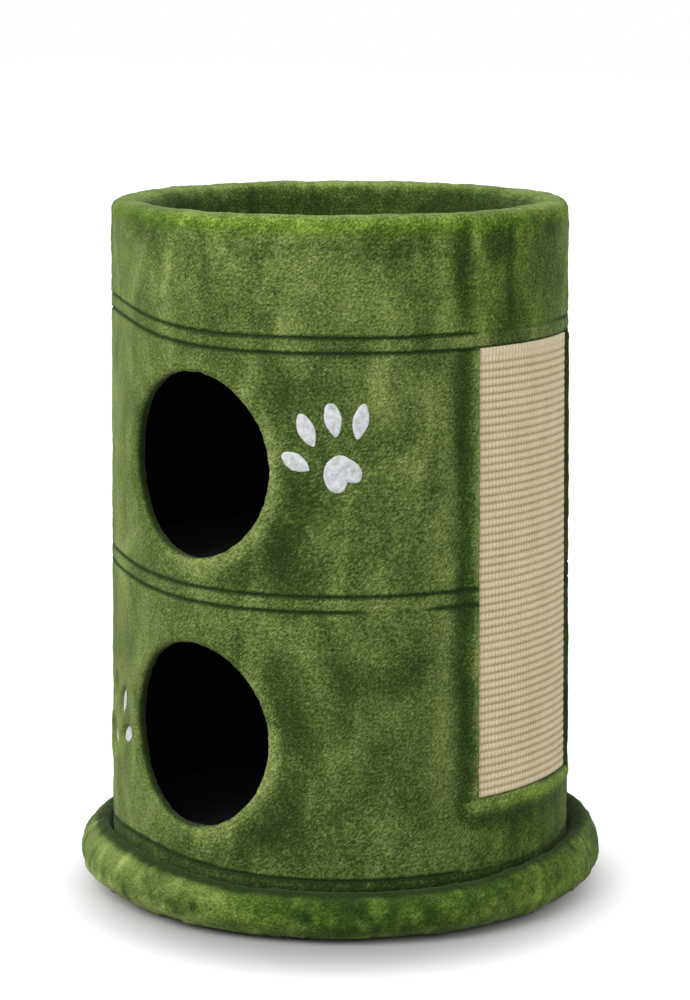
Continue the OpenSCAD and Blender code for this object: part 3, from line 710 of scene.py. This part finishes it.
def basePlush():
    radius, crest, under = high("base_cover")[0], high("base_cover")[2], low("base_cover")[2]
    seat = low("foot_band")[2]
    upper = (radius - base["topRound"], crest - base["topRound"])
    lower = (radius - base["lowRound"], under + base["lowRound"])
    turnedIn = 180 - math.degrees(math.asin(min(1, (seat - upper[1]) / base["topRound"])))
    rows = linePoints((base["hem"], under), (lower[0], under), 4 * mm)[:-1]
    rows += arcPoints(lower, base["lowRound"], -90, 0, 12)
    rows += linePoints((radius, lower[1]), (radius, upper[1]), base["step"])[1:-1]
    rows += arcPoints(upper, base["topRound"], 0, turnedIn, 18)
    rows += linePoints((rows[-1][0], seat), (barrel["tube"] - 8 * mm, seat), base["step"])[1:]
    rows += [(r, seat - 1 * mm) for r in (0.18, 0.12, 0.06, 0.0)]
    piece = spunSkin(rows, base["columns"])
    places = points(piece)
    turn, height = turnOf(places), places[:, 2].copy()
    away = awayOf(places)
    topSide = height > upper[1]
    aside = turnFrom(turn, base["facing"])
    onLeft = 0.5 - 0.5 * np.sin(np.radians(aside))
    puff = base["right"] + (base["left"] - base["right"]) * onLeft - base["front"]
    puff = base["front"] + puff * within((np.abs(aside) - base["puffFrom"]) / base["puffFade"])
    clear = away - barrel["radius"]
    brim = base["brim"] + base["brimClimb"] * climb(turn, "foot")
    brim *= within((clear - base["brimClear"]) / base["brimFade"])
    brim *= hill(np.maximum(clear, base["brimAt"]), base["brimAt"], base["brimWide"])
    height += topSide * (puff * hill(away, radius - base["puffAt"], base["puffWide"]) + brim)
    front, left, right = base["pulled"]
    pulled = front + (left - front) * hill(aside, *base["pulledLeft"])
    pulled += (right - front) * hill(aside, *base["pulledRight"])
    lowShare = within((base["pulledFrom"] - height) / base["pulledFade"])
    away -= pulled * lowShare ** 2.2 * (away > base["hem"] + 20 * mm)
    height += base["curl"] * hill(away, radius - base["curlAt"], base["curlWide"]) * (height < lower[1])
    # Painted light on the lit left and along the hem, painted shade at the barrel's foot and on the right of the
    # top, the crest darker elsewhere
    (end, endFade), (start, startFade) = base["litEnd"], base["litStart"]
    leftSide = within((end - turn) / endFade) * within((turn - start) / startFade)
    atFoot = hill(np.maximum(clear, base["footReach"]), base["footReach"], base["footFade"])
    tone = (base["litCrest"] * leftSide - base["crestDark"]) * hill(away, radius - base["crestAt"], base["crestWide"])
    tone = topSide * (tone - base["footDark"] * atFoot)
    tone += base["litEdge"] * leftSide * within((base["litEdgeFrom"] - height) / base["litEdgeFade"])
    onTop = within((radius - base["crestAt"] - away) / base["hemFade"]) * topSide
    tone -= base["rightDark"] * hill(aside, *base["rightTurn"]) * onTop
    tone += base["hemLight"] * within((base["hemFrom"] - height) / base["hemFade"])
    movePoints(piece, onBarrel(turn, away, height))
    strokePile(piece, base["strokes"] + tufts(*base["tufts"]), tone, crisp=base["crisp"],
               rich=base["rich"] - base["litRich"] * leftSide)
    backSkin(piece, base["thick"])
    ruffle(piece, *base["lumps"])
    places = points(piece)
    edge = (awayOf(places) > radius - 26 * mm) & (places[:, 2] < under + 3 * mm)
    places[edge, 2] = np.minimum(places[edge, 2], under + 1 * mm)  # the pile hangs evenly
    places[:, 2] = np.maximum(places[:, 2], 0.4 * mm)  # it rests on the floor and doesn't pass it
    movePoints(piece, places)
    settle(piece, "base_plush", plush, "plush", "base_cover")


basePlush()
print("base covered")


# Plush turned in round each entrance: (away from the clear edge, out from the barrel's face), in millimetres
lip = {
    "profile": [(15, -1.8), (12, -0.4), (9, 0.2), (6, 0.5), (3.6, 0.2), (1.8, -0.8), (0.6, -2.4), (0, -4.6),
                (0, -8), (0.2, -10), (1, -11.8), (2.6, -12.6), (5, -12.2), (6.4, -11), (6.6, -9), (7, -6),
                (9, -4.4), (12, -3.4)],
    "segments": 300, "lumps": [(14 * mm, 1.2 * mm), (7 * mm, 1 * mm), (3.4 * mm, 0.6 * mm)],
    "light": 0.06, "lightLow": 0.16, "lightTurn": 40, "lightWide": 2.4 * mm,  # a painted highlight, brightest low on the right
    # painted shade going down into the hole
    "dark": 0.8, "darkFrom": 2.5 * mm, "darkFade": 7 * mm,
}


def entranceLip(name, middle, node):
    count = len(lip["profile"])
    bpy.ops.object.select_all(action="DESELECT")
    bpy.ops.mesh.primitive_torus_add(major_segments=lip["segments"], minor_segments=count,
                                     major_radius=1, minor_radius=0.3)
    piece = bpy.context.object
    places = points(piece)
    around = np.arctan2(places[:, 1], places[:, 0])
    across = np.arctan2(places[:, 2], awayOf(places) - 1)
    spot = np.rint(across / math.tau * count).astype(int) % count
    away, out = np.array(lip["profile"])[spot].T * mm
    wide, tall = entrance["wide"], entrance["tall"]
    side, rise = np.cos(around) / wide, np.sin(around) / tall
    size = np.hypot(side, rise)
    x = entrance["aside"] + wide * np.cos(around) + away * side / size
    z = middle + tall * np.sin(around) + away * rise / size
    y = -np.sqrt((faceRadius(z) + out) ** 2 - x**2)
    movePoints(piece, np.stack([x, y, z], axis=1))
    editAll(piece)
    bpy.ops.mesh.normals_make_consistent(inside=False)
    leaveEdit()
    finishWith(piece, "SUBSURF", levels=1, render_levels=1)
    places = points(piece)
    around = np.arctan2((places[:, 2] - middle) / tall, (places[:, 0] - entrance["aside"]) / wide)
    out = awayOf(places) - faceRadius(places[:, 2])
    # Painted highlight along the lip, brightest low on the right, and painted shade down into the hole
    light = lip["light"] + lip["lightLow"] * np.clip(np.cos(around + math.radians(lip["lightTurn"])), -0.3, 1)
    dark = lip["dark"] * within((-out - lip["darkFrom"]) / lip["darkFade"])
    strokePile(piece, [], light * hill(out, 0, lip["lightWide"]) - dark)
    ruffle(piece, *lip["lumps"])
    settle(piece, name, plush, "plush", node)


entranceLip("upper_entrance_lip", entrance["upper"], "upper_entrance_trim")
entranceLip("lower_entrance_lip", entrance["lower"], "lower_entrance_trim")
print("entrances lipped")


# Woven sisal: hard straw-coloured yarn, woven in ribs. It is dry and rough; light is painted where the yarn loops
# over and shade in the grooves. Single fibres are finer than a pixel, so they are drawn as wide as 2 mm.
sisal = {
    "ribs": 58, "perRib": 8, "column": 1.2 * mm, "loop": 4.4 * mm, "ribHeight": 1.5 * mm, "loopHeight": 0.8 * mm,
    "thick": 2.4 * mm, "inside": 0.5 * mm, "plainRibs": 1.6,
    "bowFrom": 0.55, "bow": 1.4 * mm, "bowFlat": 0.6,  # the mat stands out a little towards its far side
    "grooveTone": 0.14, "ribTone": 0.3, "loopTone": 0.42, "lump": (5 * mm, 0.7 * mm),
}


def sisalMaterial():
    made, tree, shader, place = newMaterial("woven sisal", Roughness=0.85, Specular_IOR_Level=0.25)
    depth = addNode(tree, "Attribute", out="Fac", attribute_name="ribDepth")
    along = addNode(tree, "Mapping", {"Vector": place, "Scale": (1, 1, 2.5)})
    fibre = addNode(tree, "TexNoise", {"Vector": along, "Scale": 1 / (2 * mm), "Detail": 3.0})
    patch = addNode(tree, "TexNoise", {"Vector": place, "Scale": 1 / (26 * mm), "Detail": 2.0})
    tone = addNode(tree, "Math", {0: fibre, 1: 0.6, 2: -0.425}, operation="MULTIPLY_ADD")
    tone = addNode(tree, "Math", {0: patch, 1: 0.25, 2: tone}, operation="MULTIPLY_ADD")
    tone = addNode(tree, "Math", {0: depth, 1: tone}, operation="ADD")
    colour = addNode(tree, "ValToRGB", {"Fac": tone},
                     stops=[(0.0, "#a08f68"), (0.35, "#c6b78f"), (0.7, "#e6d9b6"), (1.0, "#f3e8cb")])
    bump = addNode(tree, "Bump", {"Height": fibre, "Strength": 0.6, "Distance": 0.8 * mm})
    wire(tree, shader, Base_Color=colour, Normal=bump)
    return made


def sisalMat():
    bottom, top = low("sisal_panel")[2], high("sisal_panel")[2]
    sweep = 2 * math.radians(window["half"]) * barrel["radius"]
    columns = round(sweep / sisal["column"])
    rows = sisal["ribs"] * sisal["perRib"] + 1
    piece, column, row = indexedGrid(columns + 1, rows)
    along, up = column / columns, row / (rows - 1)
    rib = up * sisal["ribs"]
    plain = within((sisal["ribs"] - rib) / sisal["plainRibs"] - 0.4)  # the top edge is bound flat
    wave = 1 - plain * (1 - np.abs(np.sin(math.pi * rib)) ** 0.8)
    drift = np.random.default_rng(7).uniform(0, 2, sisal["ribs"] + 1)[np.floor(rib).astype(int)]
    loop = 0.5 + 0.5 * np.cos(math.tau * along * sweep / sisal["loop"] + drift)
    height = bottom + up * (top - bottom)
    bow = within((along - sisal["bowFrom"]) / (1 - sisal["bowFrom"]))
    ribHeight = sisal["ribHeight"] * (1 - sisal["bowFlat"] * bow)
    face = faceRadius(height) - sisal["inside"] + ribHeight * (wave - 1) + sisal["bow"] * bow
    face += sisal["loopHeight"] * (loop - 0.7) * wave
    turn = window["turn"] + (2 * along - 1) * window["half"]
    movePoints(piece, onBarrel(turn, face, height))
    # painted shade in the grooves, painted light where the yarn loops over
    depth = sisal["grooveTone"] + wave * (sisal["ribTone"] + sisal["loopTone"] * loop)
    piece.data.attributes.new("ribDepth", "FLOAT", "POINT").data.foreach_set("value", depth)
    backSkin(piece, sisal["thick"])
    ruffle(piece, sisal["lump"])
    settle(piece, "sisal_mat", sisalMaterial(), "sisal", "sisal_panel")


sisalMat()
print("sisal woven")


# Pressed wool felt, cut out and sewn down: matt, fuzzy and soft grey-white, with a slant of stitches through it.
# The real stitches are finer than a pixel, so they are drawn 1.8 mm apart.
def stitchMaterial():
    made, tree, shader, place = newMaterial("stitched wool felt", Roughness=0.9, Sheen_Weight=0.2,
                                            Specular_IOR_Level=0.2)
    slant = addNode(tree, "Mapping", {"Vector": place, "Rotation": (0.0, 0.5, 0.0)})
    thread = addNode(tree, "TexWave", {"Vector": slant, "Scale": math.tau / 20 / (1.8 * mm), "Distortion": 3.0,
                                       "Detail": 2.0}, out="Fac", bands_direction="Z")
    fuzz = addNode(tree, "TexNoise", {"Vector": place, "Scale": 1 / (5 * mm), "Detail": 3.0, "Roughness": 0.6})
    tone = addNode(tree, "Math", {0: thread, 1: 0.16, 2: -0.08}, operation="MULTIPLY_ADD")
    tone = addNode(tree, "Math", {0: fuzz, 1: 1.0, 2: tone}, operation="MULTIPLY_ADD")
    colour = addNode(tree, "ValToRGB", {"Fac": tone}, stops=[(0.2, "#9a9e97"), (0.5, "#c8cacd"), (0.8, "#e2e4e9")])
    bump = addNode(tree, "Bump", {"Height": tone, "Strength": 0.6, "Distance": 0.8 * mm})
    wire(tree, shader, Base_Color=colour, Normal=bump)
    return made


def pawPrint(name, node, mark):
    made = []
    for toe in [*paw["toes"], None]:
        bpy.ops.object.select_all(action="DESELECT")
        bpy.ops.mesh.primitive_uv_sphere_add(segments=64, ring_count=32, radius=1)
        piece = bpy.context.object
        x, y, z = points(piece).T
        if toe:
            along, up, length, width, lean = toe
            lean = math.radians(lean) * mark["side"]
            leaf = (1 - within(-y)) ** paw["point"] * (1 - paw["blunt"] * within(y))
            a, b = width / 2 * x * leaf, length / 2 * y
            spread = np.stack([a * math.cos(lean) - b * math.sin(lean), a * math.sin(lean) + b * math.cos(lean)])
        else:
            along, up, size = paw["sole"]
            around = np.degrees(np.arctan2(y, mark["side"] * x))
            notch, lobe, flat = [depth * within(np.cos(np.radians(around - way))) ** sharp
                                 for way, depth, sharp in (paw["notch"], paw["lobe"], paw["flat"])]
            spread = size * (1 - notch + lobe - flat) * np.stack([x, y])
        across, rise = (mark["side"] * along + spread[0]) * mm, (up + spread[1]) * mm
        height = mark["height"] + rise
        out = faceRadius(height) - mark["sunk"] + paw["rise"] * np.sign(z) * np.abs(z) ** 0.6
        movePoints(piece, onBarrel(mark["turn"] + np.degrees(across / barrel["radius"]), out, height))
        made.append(piece)
    bpy.ops.object.select_all(action="DESELECT")
    for piece in made:
        piece.select_set(True)
    bpy.context.view_layer.objects.active = made[0]
    bpy.ops.object.join()
    piece = bpy.context.object
    ruffle(piece, (6 * mm, 0.8 * mm))
    settle(piece, name, stitch, "paw_patch", node)


stitch = stitchMaterial()
pawPrint("upper_paw_felt", "upper_paw_patches", paw["upper"])
pawPrint("lower_paw_felt", "lower_paw_patches", paw["lower"])
print("paws sewn on")


# Needled polyester felt on the cave walls and floors: black, matt, and faintly mottled by its tangled fibres
felt = mottled("needled felt", [("TexNoise", 1.0, {"Scale": 1 / (3 * mm), "Detail": 4.0})],
               [(0.3, "#131315"), (0.7, "#28282c")], bump=(0.4, 0.8 * mm),
               Roughness=0.95, Sheen_Weight=0.05, Specular_IOR_Level=0.1)
caveCloth = {"step": 6 * mm, "thick": 1.3 * mm, "inside": 1.5 * mm, "cut": 3 * mm, "wrinkle": (50 * mm, 0.8 * mm)}


def caveLining(name, node, middle):
    bottom, top = low(node)[2], high(node)[2]
    radius = barrel["inside"] - caveCloth["inside"]
    length = math.tau * radius
    turns = np.linspace(180, -180, round(length / caveCloth["step"]) + 1)
    rows = np.linspace(bottom, top, round((top - bottom) / caveCloth["step"]) + 1)
    piece, column, row = indexedGrid(len(turns), len(rows))
    movePoints(piece, onBarrel(turns[column], np.full(len(column), radius), rows[row]))
    wide, tall = entrance["wide"] + caveCloth["cut"], entrance["tall"] + caveCloth["cut"]
    dropFaces(piece, inOval(faceMiddles(piece), 0, middle, wide, tall))
    closeSeam(piece)
    backSkin(piece, caveCloth["thick"], keep=0.5)
    ruffle(piece, caveCloth["wrinkle"])
    settle(piece, name, felt, "lining", node)


caveLining("lower_cave_felt", "lower_cave_lining", entrance["lower"])
caveLining("upper_cave_felt", "upper_cave_lining", entrance["upper"])


def roundMat(name, node, floor, material, slot, columns, step, *lumps):
    radius, top, under = high(node)[0], high(node)[2], low(node)[2]
    soft = 2.5 * mm  # round of its upper edge
    rows = [(0, under), (radius - 1 * mm, under)] + arcPoints((radius - soft, top - soft), soft, 0, 90, 5)
    rows += linePoints((radius - soft, top), (0.02, top), step)[1:] + [(0, top)]
    piece = spunSkin(rows, columns)
    markPoints(piece, "pile", points(piece)[:, 2] > under + 1 * mm)
    strokePile(piece, [])
    ruffle(piece, *lumps)
    settle(piece, name, material, slot, node)


carpet = (felt, "lining", 200, 6 * mm, (20 * mm, 1.5 * mm), (7 * mm, 1 * mm))
roundMat("lower_cave_carpet", "lower_cave_mat", "bottom_disc", *carpet)
roundMat("upper_cave_carpet", "upper_cave_mat", "middle_floor", *carpet)
roundMat("lounge_floor_plush", "lounge_floor_mat", "lounge_floor", plush, "plush", 300, 4 * mm,
         (20 * mm, 1.2 * mm), (6 * mm, 1 * mm))
print("caves lined")


# The lounge's loose cushion: a round pad that is blown up as cloth and sewn at its edge
cushion = {
    "cloth": 5 * mm, "pressure": 4.0, "frames": 20, "cap": 14 * mm,  # voxel size, and what the simulation may move
    "start": 14 * mm, "gap": 3 * mm, "bevel": 5 * mm, "sewn": 2 * mm, "pileFrom": 4 * mm,
    "light": 0.1, "lightAt": 80 * mm, "lightWide": 70 * mm,
    "lumps": [(60 * mm, 3 * mm), (7 * mm, 1.2 * mm)],
}


def loungeCushion():
    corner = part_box("lounge_cushion")
    radius, under, thick = corner[1][0], corner[0][2], corner[1][2] - corner[0][2]
    bpy.ops.object.select_all(action="DESELECT")
    bpy.ops.mesh.primitive_cylinder_add(vertices=96, radius=radius - cushion["gap"], depth=cushion["start"],
                                        location=(0, 0, under + thick / 2))
    piece = bpy.context.object
    bpy.ops.object.transform_apply(location=True)
    finishWith(piece, "BEVEL", width=cushion["bevel"], segments=3, limit_method="ANGLE")
    finishWith(piece, "REMESH", mode="VOXEL", voxel_size=cushion["cloth"])
    rest = points(piece)
    markPoints(piece, "sewnEdge", awayOf(rest) > radius - cushion["gap"] - cushion["sewn"])
    alone(piece)
    cloth = piece.modifiers.new("Cloth", "CLOTH")
    cloth.settings.use_pressure = True
    cloth.settings.uniform_pressure_force = cushion["pressure"]
    cloth.settings.vertex_group_mass = "sewnEdge"
    cloth.settings.effector_weights.gravity = 0
    cloth.point_cache.frame_end = cushion["frames"]
    for step in range(1, cushion["frames"] + 1):
        bpy.context.scene.frame_set(step)
    bpy.ops.object.modifier_apply(modifier="Cloth")
    bpy.context.scene.frame_set(1)
    piece.vertex_groups.remove(piece.vertex_groups["sewnEdge"])
    swell = points(piece) - rest
    far = np.linalg.norm(swell, axis=1, keepdims=True)
    places = rest + swell * np.minimum(1, cushion["cap"] / np.maximum(far, 1e-9))
    places[:, 2] = under + (places[:, 2] - places[:, 2].min()) * min(1, thick / np.ptp(places[:, 2]))
    movePoints(piece, places)
    finishWith(piece, "SUBSURF", levels=1, render_levels=1)
    places = points(piece)
    markPoints(piece, "pile", places[:, 2] > under + cushion["pileFrom"])
    away = awayOf(places)
    strokePile(piece, [], cushion["light"] * hill(away, cushion["lightAt"], cushion["lightWide"]))
    ruffle(piece, *cushion["lumps"])
    settle(piece, "loose_cushion", plush, "plush", "lounge_cushion", body="cushion")


loungeCushion()
print("cushion filled")


# Spunbonded polypropylene, stapled under the base: dark, dull and thin, with the pressed dots of its bonding. The
# dots are about 1 mm apart on the real cloth and are drawn 3 mm apart.
spunbond = mottled("spunbonded cloth", [("TexVoronoi", 0.5, {"Scale": 1 / (3 * mm), "Randomness": 0.15}),
                                        ("TexNoise", 0.6, {"Scale": 1 / (9 * mm), "Detail": 4.0})],
                   [(0.2, "#141416"), (0.7, "#2b2b2e")], bump=(0.3, 0.3 * mm),
                   Roughness=0.9, Specular_IOR_Level=0.2)
underlay = {"step": 6 * mm, "columns": 180, "thick": 0.7 * mm, "hole": 11 * mm, "washer": 10 * mm,
            "sag": (60 * mm, 0.5 * mm)}


def baseUnderlay():
    radius, top, under = high("base_underlay")[0], high("base_underlay")[2], low("base_underlay")[2]
    level = top - 0.1 * mm
    rows = [(0, level)] + linePoints((0.02, level), (radius, level), underlay["step"])
    piece = spunSkin(rows[::-1], underlay["columns"])
    editAll(piece)
    bpy.ops.mesh.flip_normals()
    leaveEdit()
    finishWith(piece, "SOLIDIFY", thickness=underlay["thick"], offset=1)
    reach = high("base_washers")[0] - underlay["washer"]
    for x in (-reach, reach):
        for y in (-reach, reach):
            bpy.ops.object.select_all(action="DESELECT")
            bpy.ops.mesh.primitive_cylinder_add(vertices=40, radius=underlay["hole"], depth=20 * mm,
                                                location=(x, y, under))
            punch = bpy.context.object
            finishWith(piece, "BOOLEAN", object=punch, operation="DIFFERENCE", solver="EXACT")
            bpy.data.objects.remove(punch)
    ruffle(piece, underlay["sag"])
    settle(piece, "underlay_cloth", spunbond, "underlay", "base_underlay")


baseUnderlay()
print("underside closed")


# Medium-density fibreboard, sawn: even warm brown with short fibres and a faint cloudiness
board = mottled("medium-density fibreboard", [("TexNoise", 0.6, {"Scale": 1 / (2 * mm), "Detail": 5.0}),
                                              ("TexNoise", 0.4, {"Scale": 1 / (40 * mm), "Detail": 3.0})],
                [(0.3, "#8f7553"), (0.7, "#b89c76")], bump=(0.2, 0.3 * mm), Roughness=0.8, Specular_IOR_Level=0.25)

# Polyurethane foam, cut from a block: pale yellow and matt, open cells that are drawn at 2 mm
foam = mottled("polyurethane foam", [("TexVoronoi", 1.0, {"Scale": 1 / (2 * mm)})],
               [(0.1, "#c9bd97"), (0.7, "#e6dcbd")], bump=(0.5, 0.6 * mm), Roughness=0.95, Specular_IOR_Level=0.1)

# Latex, spread on the back of the weave: a dull cream skin, uneven where it soaked in
latex = mottled("spread latex", [("TexNoise", 1.0, {"Scale": 1 / (8 * mm), "Detail": 4.0})],
                [(0.3, "#bfae8a"), (0.7, "#dccfae")], bump=(0.3, 0.4 * mm), Roughness=0.7, Specular_IOR_Level=0.3)

# Zinc-plated steel: a cool grey metal, hazy where the plating is dull
zinc = mottled("zinc-plated steel", [("TexNoise", 1.0, {"Scale": 1 / (3 * mm), "Detail": 3.0})],
               [(0.3, "#8d9196"), (0.7, "#b9bcc0")], rough=(0.3, 0.5), Metallic=1.0)

# Moulded polypropylene: near black and half matt, scuffed duller where it slides on the floor
moulded = mottled("moulded polypropylene", [("TexNoise", 1.0, {"Scale": 1 / (4 * mm), "Detail": 4.0})],
                  [(0.3, "#17181a"), (0.75, "#2a2b2e")], rough=(0.4, 0.65), Specular_IOR_Level=0.5)


# Kraft paperboard, wound and glued: brown, with slanting plies and paper flecks
def tubeMaterial():
    made, tree, shader, place = newMaterial("wound paperboard", Roughness=0.75, Specular_IOR_Level=0.25)
    ply = addNode(tree, "TexWave", {"Vector": place, "Scale": math.tau / 20 / (90 * mm), "Distortion": 0.5},
                  out="Fac", bands_direction="DIAGONAL")
    fibre = addNode(tree, "TexNoise", {"Vector": place, "Scale": 1 / (5 * mm), "Detail": 4.0})
    tone = addNode(tree, "Math", {0: ply, 1: 0.2}, operation="MULTIPLY")
    tone = addNode(tree, "Math", {0: fibre, 1: 0.7, 2: tone}, operation="MULTIPLY_ADD")
    colour = addNode(tree, "ValToRGB", {"Fac": tone}, stops=[(0.25, "#846442"), (0.75, "#ab8a63")])
    bump = addNode(tree, "Bump", {"Height": fibre, "Strength": 0.2, "Distance": 0.3 * mm})
    wire(tree, shader, Base_Color=colour, Normal=bump)
    return made


carriedOver = [
    (board, ["base_board", "bottom_disc", "middle_floor", "lounge_floor"]),
    (tubeMaterial(), ["barrel_tube"]),
    (foam, ["base_foam", "lounge_wall_foam"]),
    (latex, ["sisal_backing"]),
    (zinc, ["glide_nails", "base_staples", "base_bolts", "base_washers", "base_tee_nuts", "bottom_disc_screws",
            "middle_floor_screws", "lounge_floor_screws"]),
    (moulded, ["base_glides"]),
]
for material, nodes in carriedOver:
    for name in nodes:
        bpy.data.objects[name].data.materials.clear()
        bpy.data.objects[name].data.materials.append(material)
print("carried-over pieces coloured")


# Plain soft studio light and a pale floor; each light is (place, power, size)
studio = {
    "key": ((-0.5, -2.4, 2.5), 80, 2.2), "fill": ((2.6, -0.7, 1.6), 10, 1.4), "aim": (0, 0, 0.33), "sky": 0.8,
    "floor": 30, "paper": "#acacac", "white": 0.8,
    "shadow": (0.68, 1.15), "oval": (0.273, 0.3), "ahead": 0.05,  # the shadow's oval, which falls forward
}


def softBox(name, place, power, size):
    aim = np.array(studio["aim"]) - np.array(place)
    turn = (math.acos(-aim[2] / np.linalg.norm(aim)), 0, math.atan2(aim[1], aim[0]) - math.pi / 2)
    bpy.ops.object.light_add(type="AREA", location=place, rotation=turn)
    lamp = bpy.context.object
    lamp.name = name
    lamp.data.energy = power
    lamp.data.size = size


# White paper that keeps the shadow round the base; further out it is lifted to pure white for the camera alone
def studioFloor():
    bpy.ops.object.select_all(action="DESELECT")
    bpy.ops.mesh.primitive_plane_add(size=studio["floor"])
    floor = bpy.context.object
    floor.name = "studio_floor"
    made, tree, shader, place = newMaterial("studio paper", Base_Color=linear(studio["paper"]), Roughness=0.9)
    turn = math.radians(camera["turn"])
    middle = (studio["ahead"] * math.sin(turn), -studio["ahead"] * math.cos(turn), 0)
    oval = addNode(tree, "Mapping", {"Vector": place, "Location": middle, "Rotation": (0, 0, turn),
                                     "Scale": (*studio["oval"], 1)}, vector_type="TEXTURE")
    away = addNode(tree, "VectorMath", {0: oval}, out="Value", operation="LENGTH")
    start, end = studio["shadow"]
    lift = addNode(tree, "MapRange", {"Value": away, "From Min": start, "From Max": end, "To Max": studio["white"]},
                   interpolation_type="SMOOTHSTEP")
    seen = addNode(tree, "LightPath", out="Is Camera Ray")
    strength = addNode(tree, "Math", {0: seen, 1: lift}, operation="MULTIPLY")
    glow = addNode(tree, "Emission", {"Color": (1, 1, 1, 1), "Strength": strength})
    both = addNode(tree, "AddShader", {0: shader.outputs[0], 1: glow})
    tree.links.new(both, tree.nodes["Material Output"].inputs["Surface"])
    floor.data.materials.append(made)


# The sky lights the part softly, and is white where it is seen or mirrored
def studioSky():
    world = bpy.data.worlds.new("studio")
    bpy.context.scene.world = world
    world.use_nodes = True
    tree = world.node_tree
    direct = 0.0
    for kind in ("Is Camera Ray", "Is Glossy Ray", "Is Transmission Ray"):
        ray = addNode(tree, "LightPath", out=kind)
        direct = addNode(tree, "Math", {0: ray, 1: direct}, operation="MAXIMUM")
    strength = addNode(tree, "Math", {0: direct, 1: 1 - studio["sky"], 2: studio["sky"]}, operation="MULTIPLY_ADD")
    sky = tree.nodes["Background"]
    sky.inputs["Color"].default_value = (1, 1, 1, 1)
    tree.links.new(strength, sky.inputs["Strength"])


softBox("key_light", *studio["key"])
softBox("fill_light", *studio["fill"])
studioFloor()
studioSky()
print("studio lit")
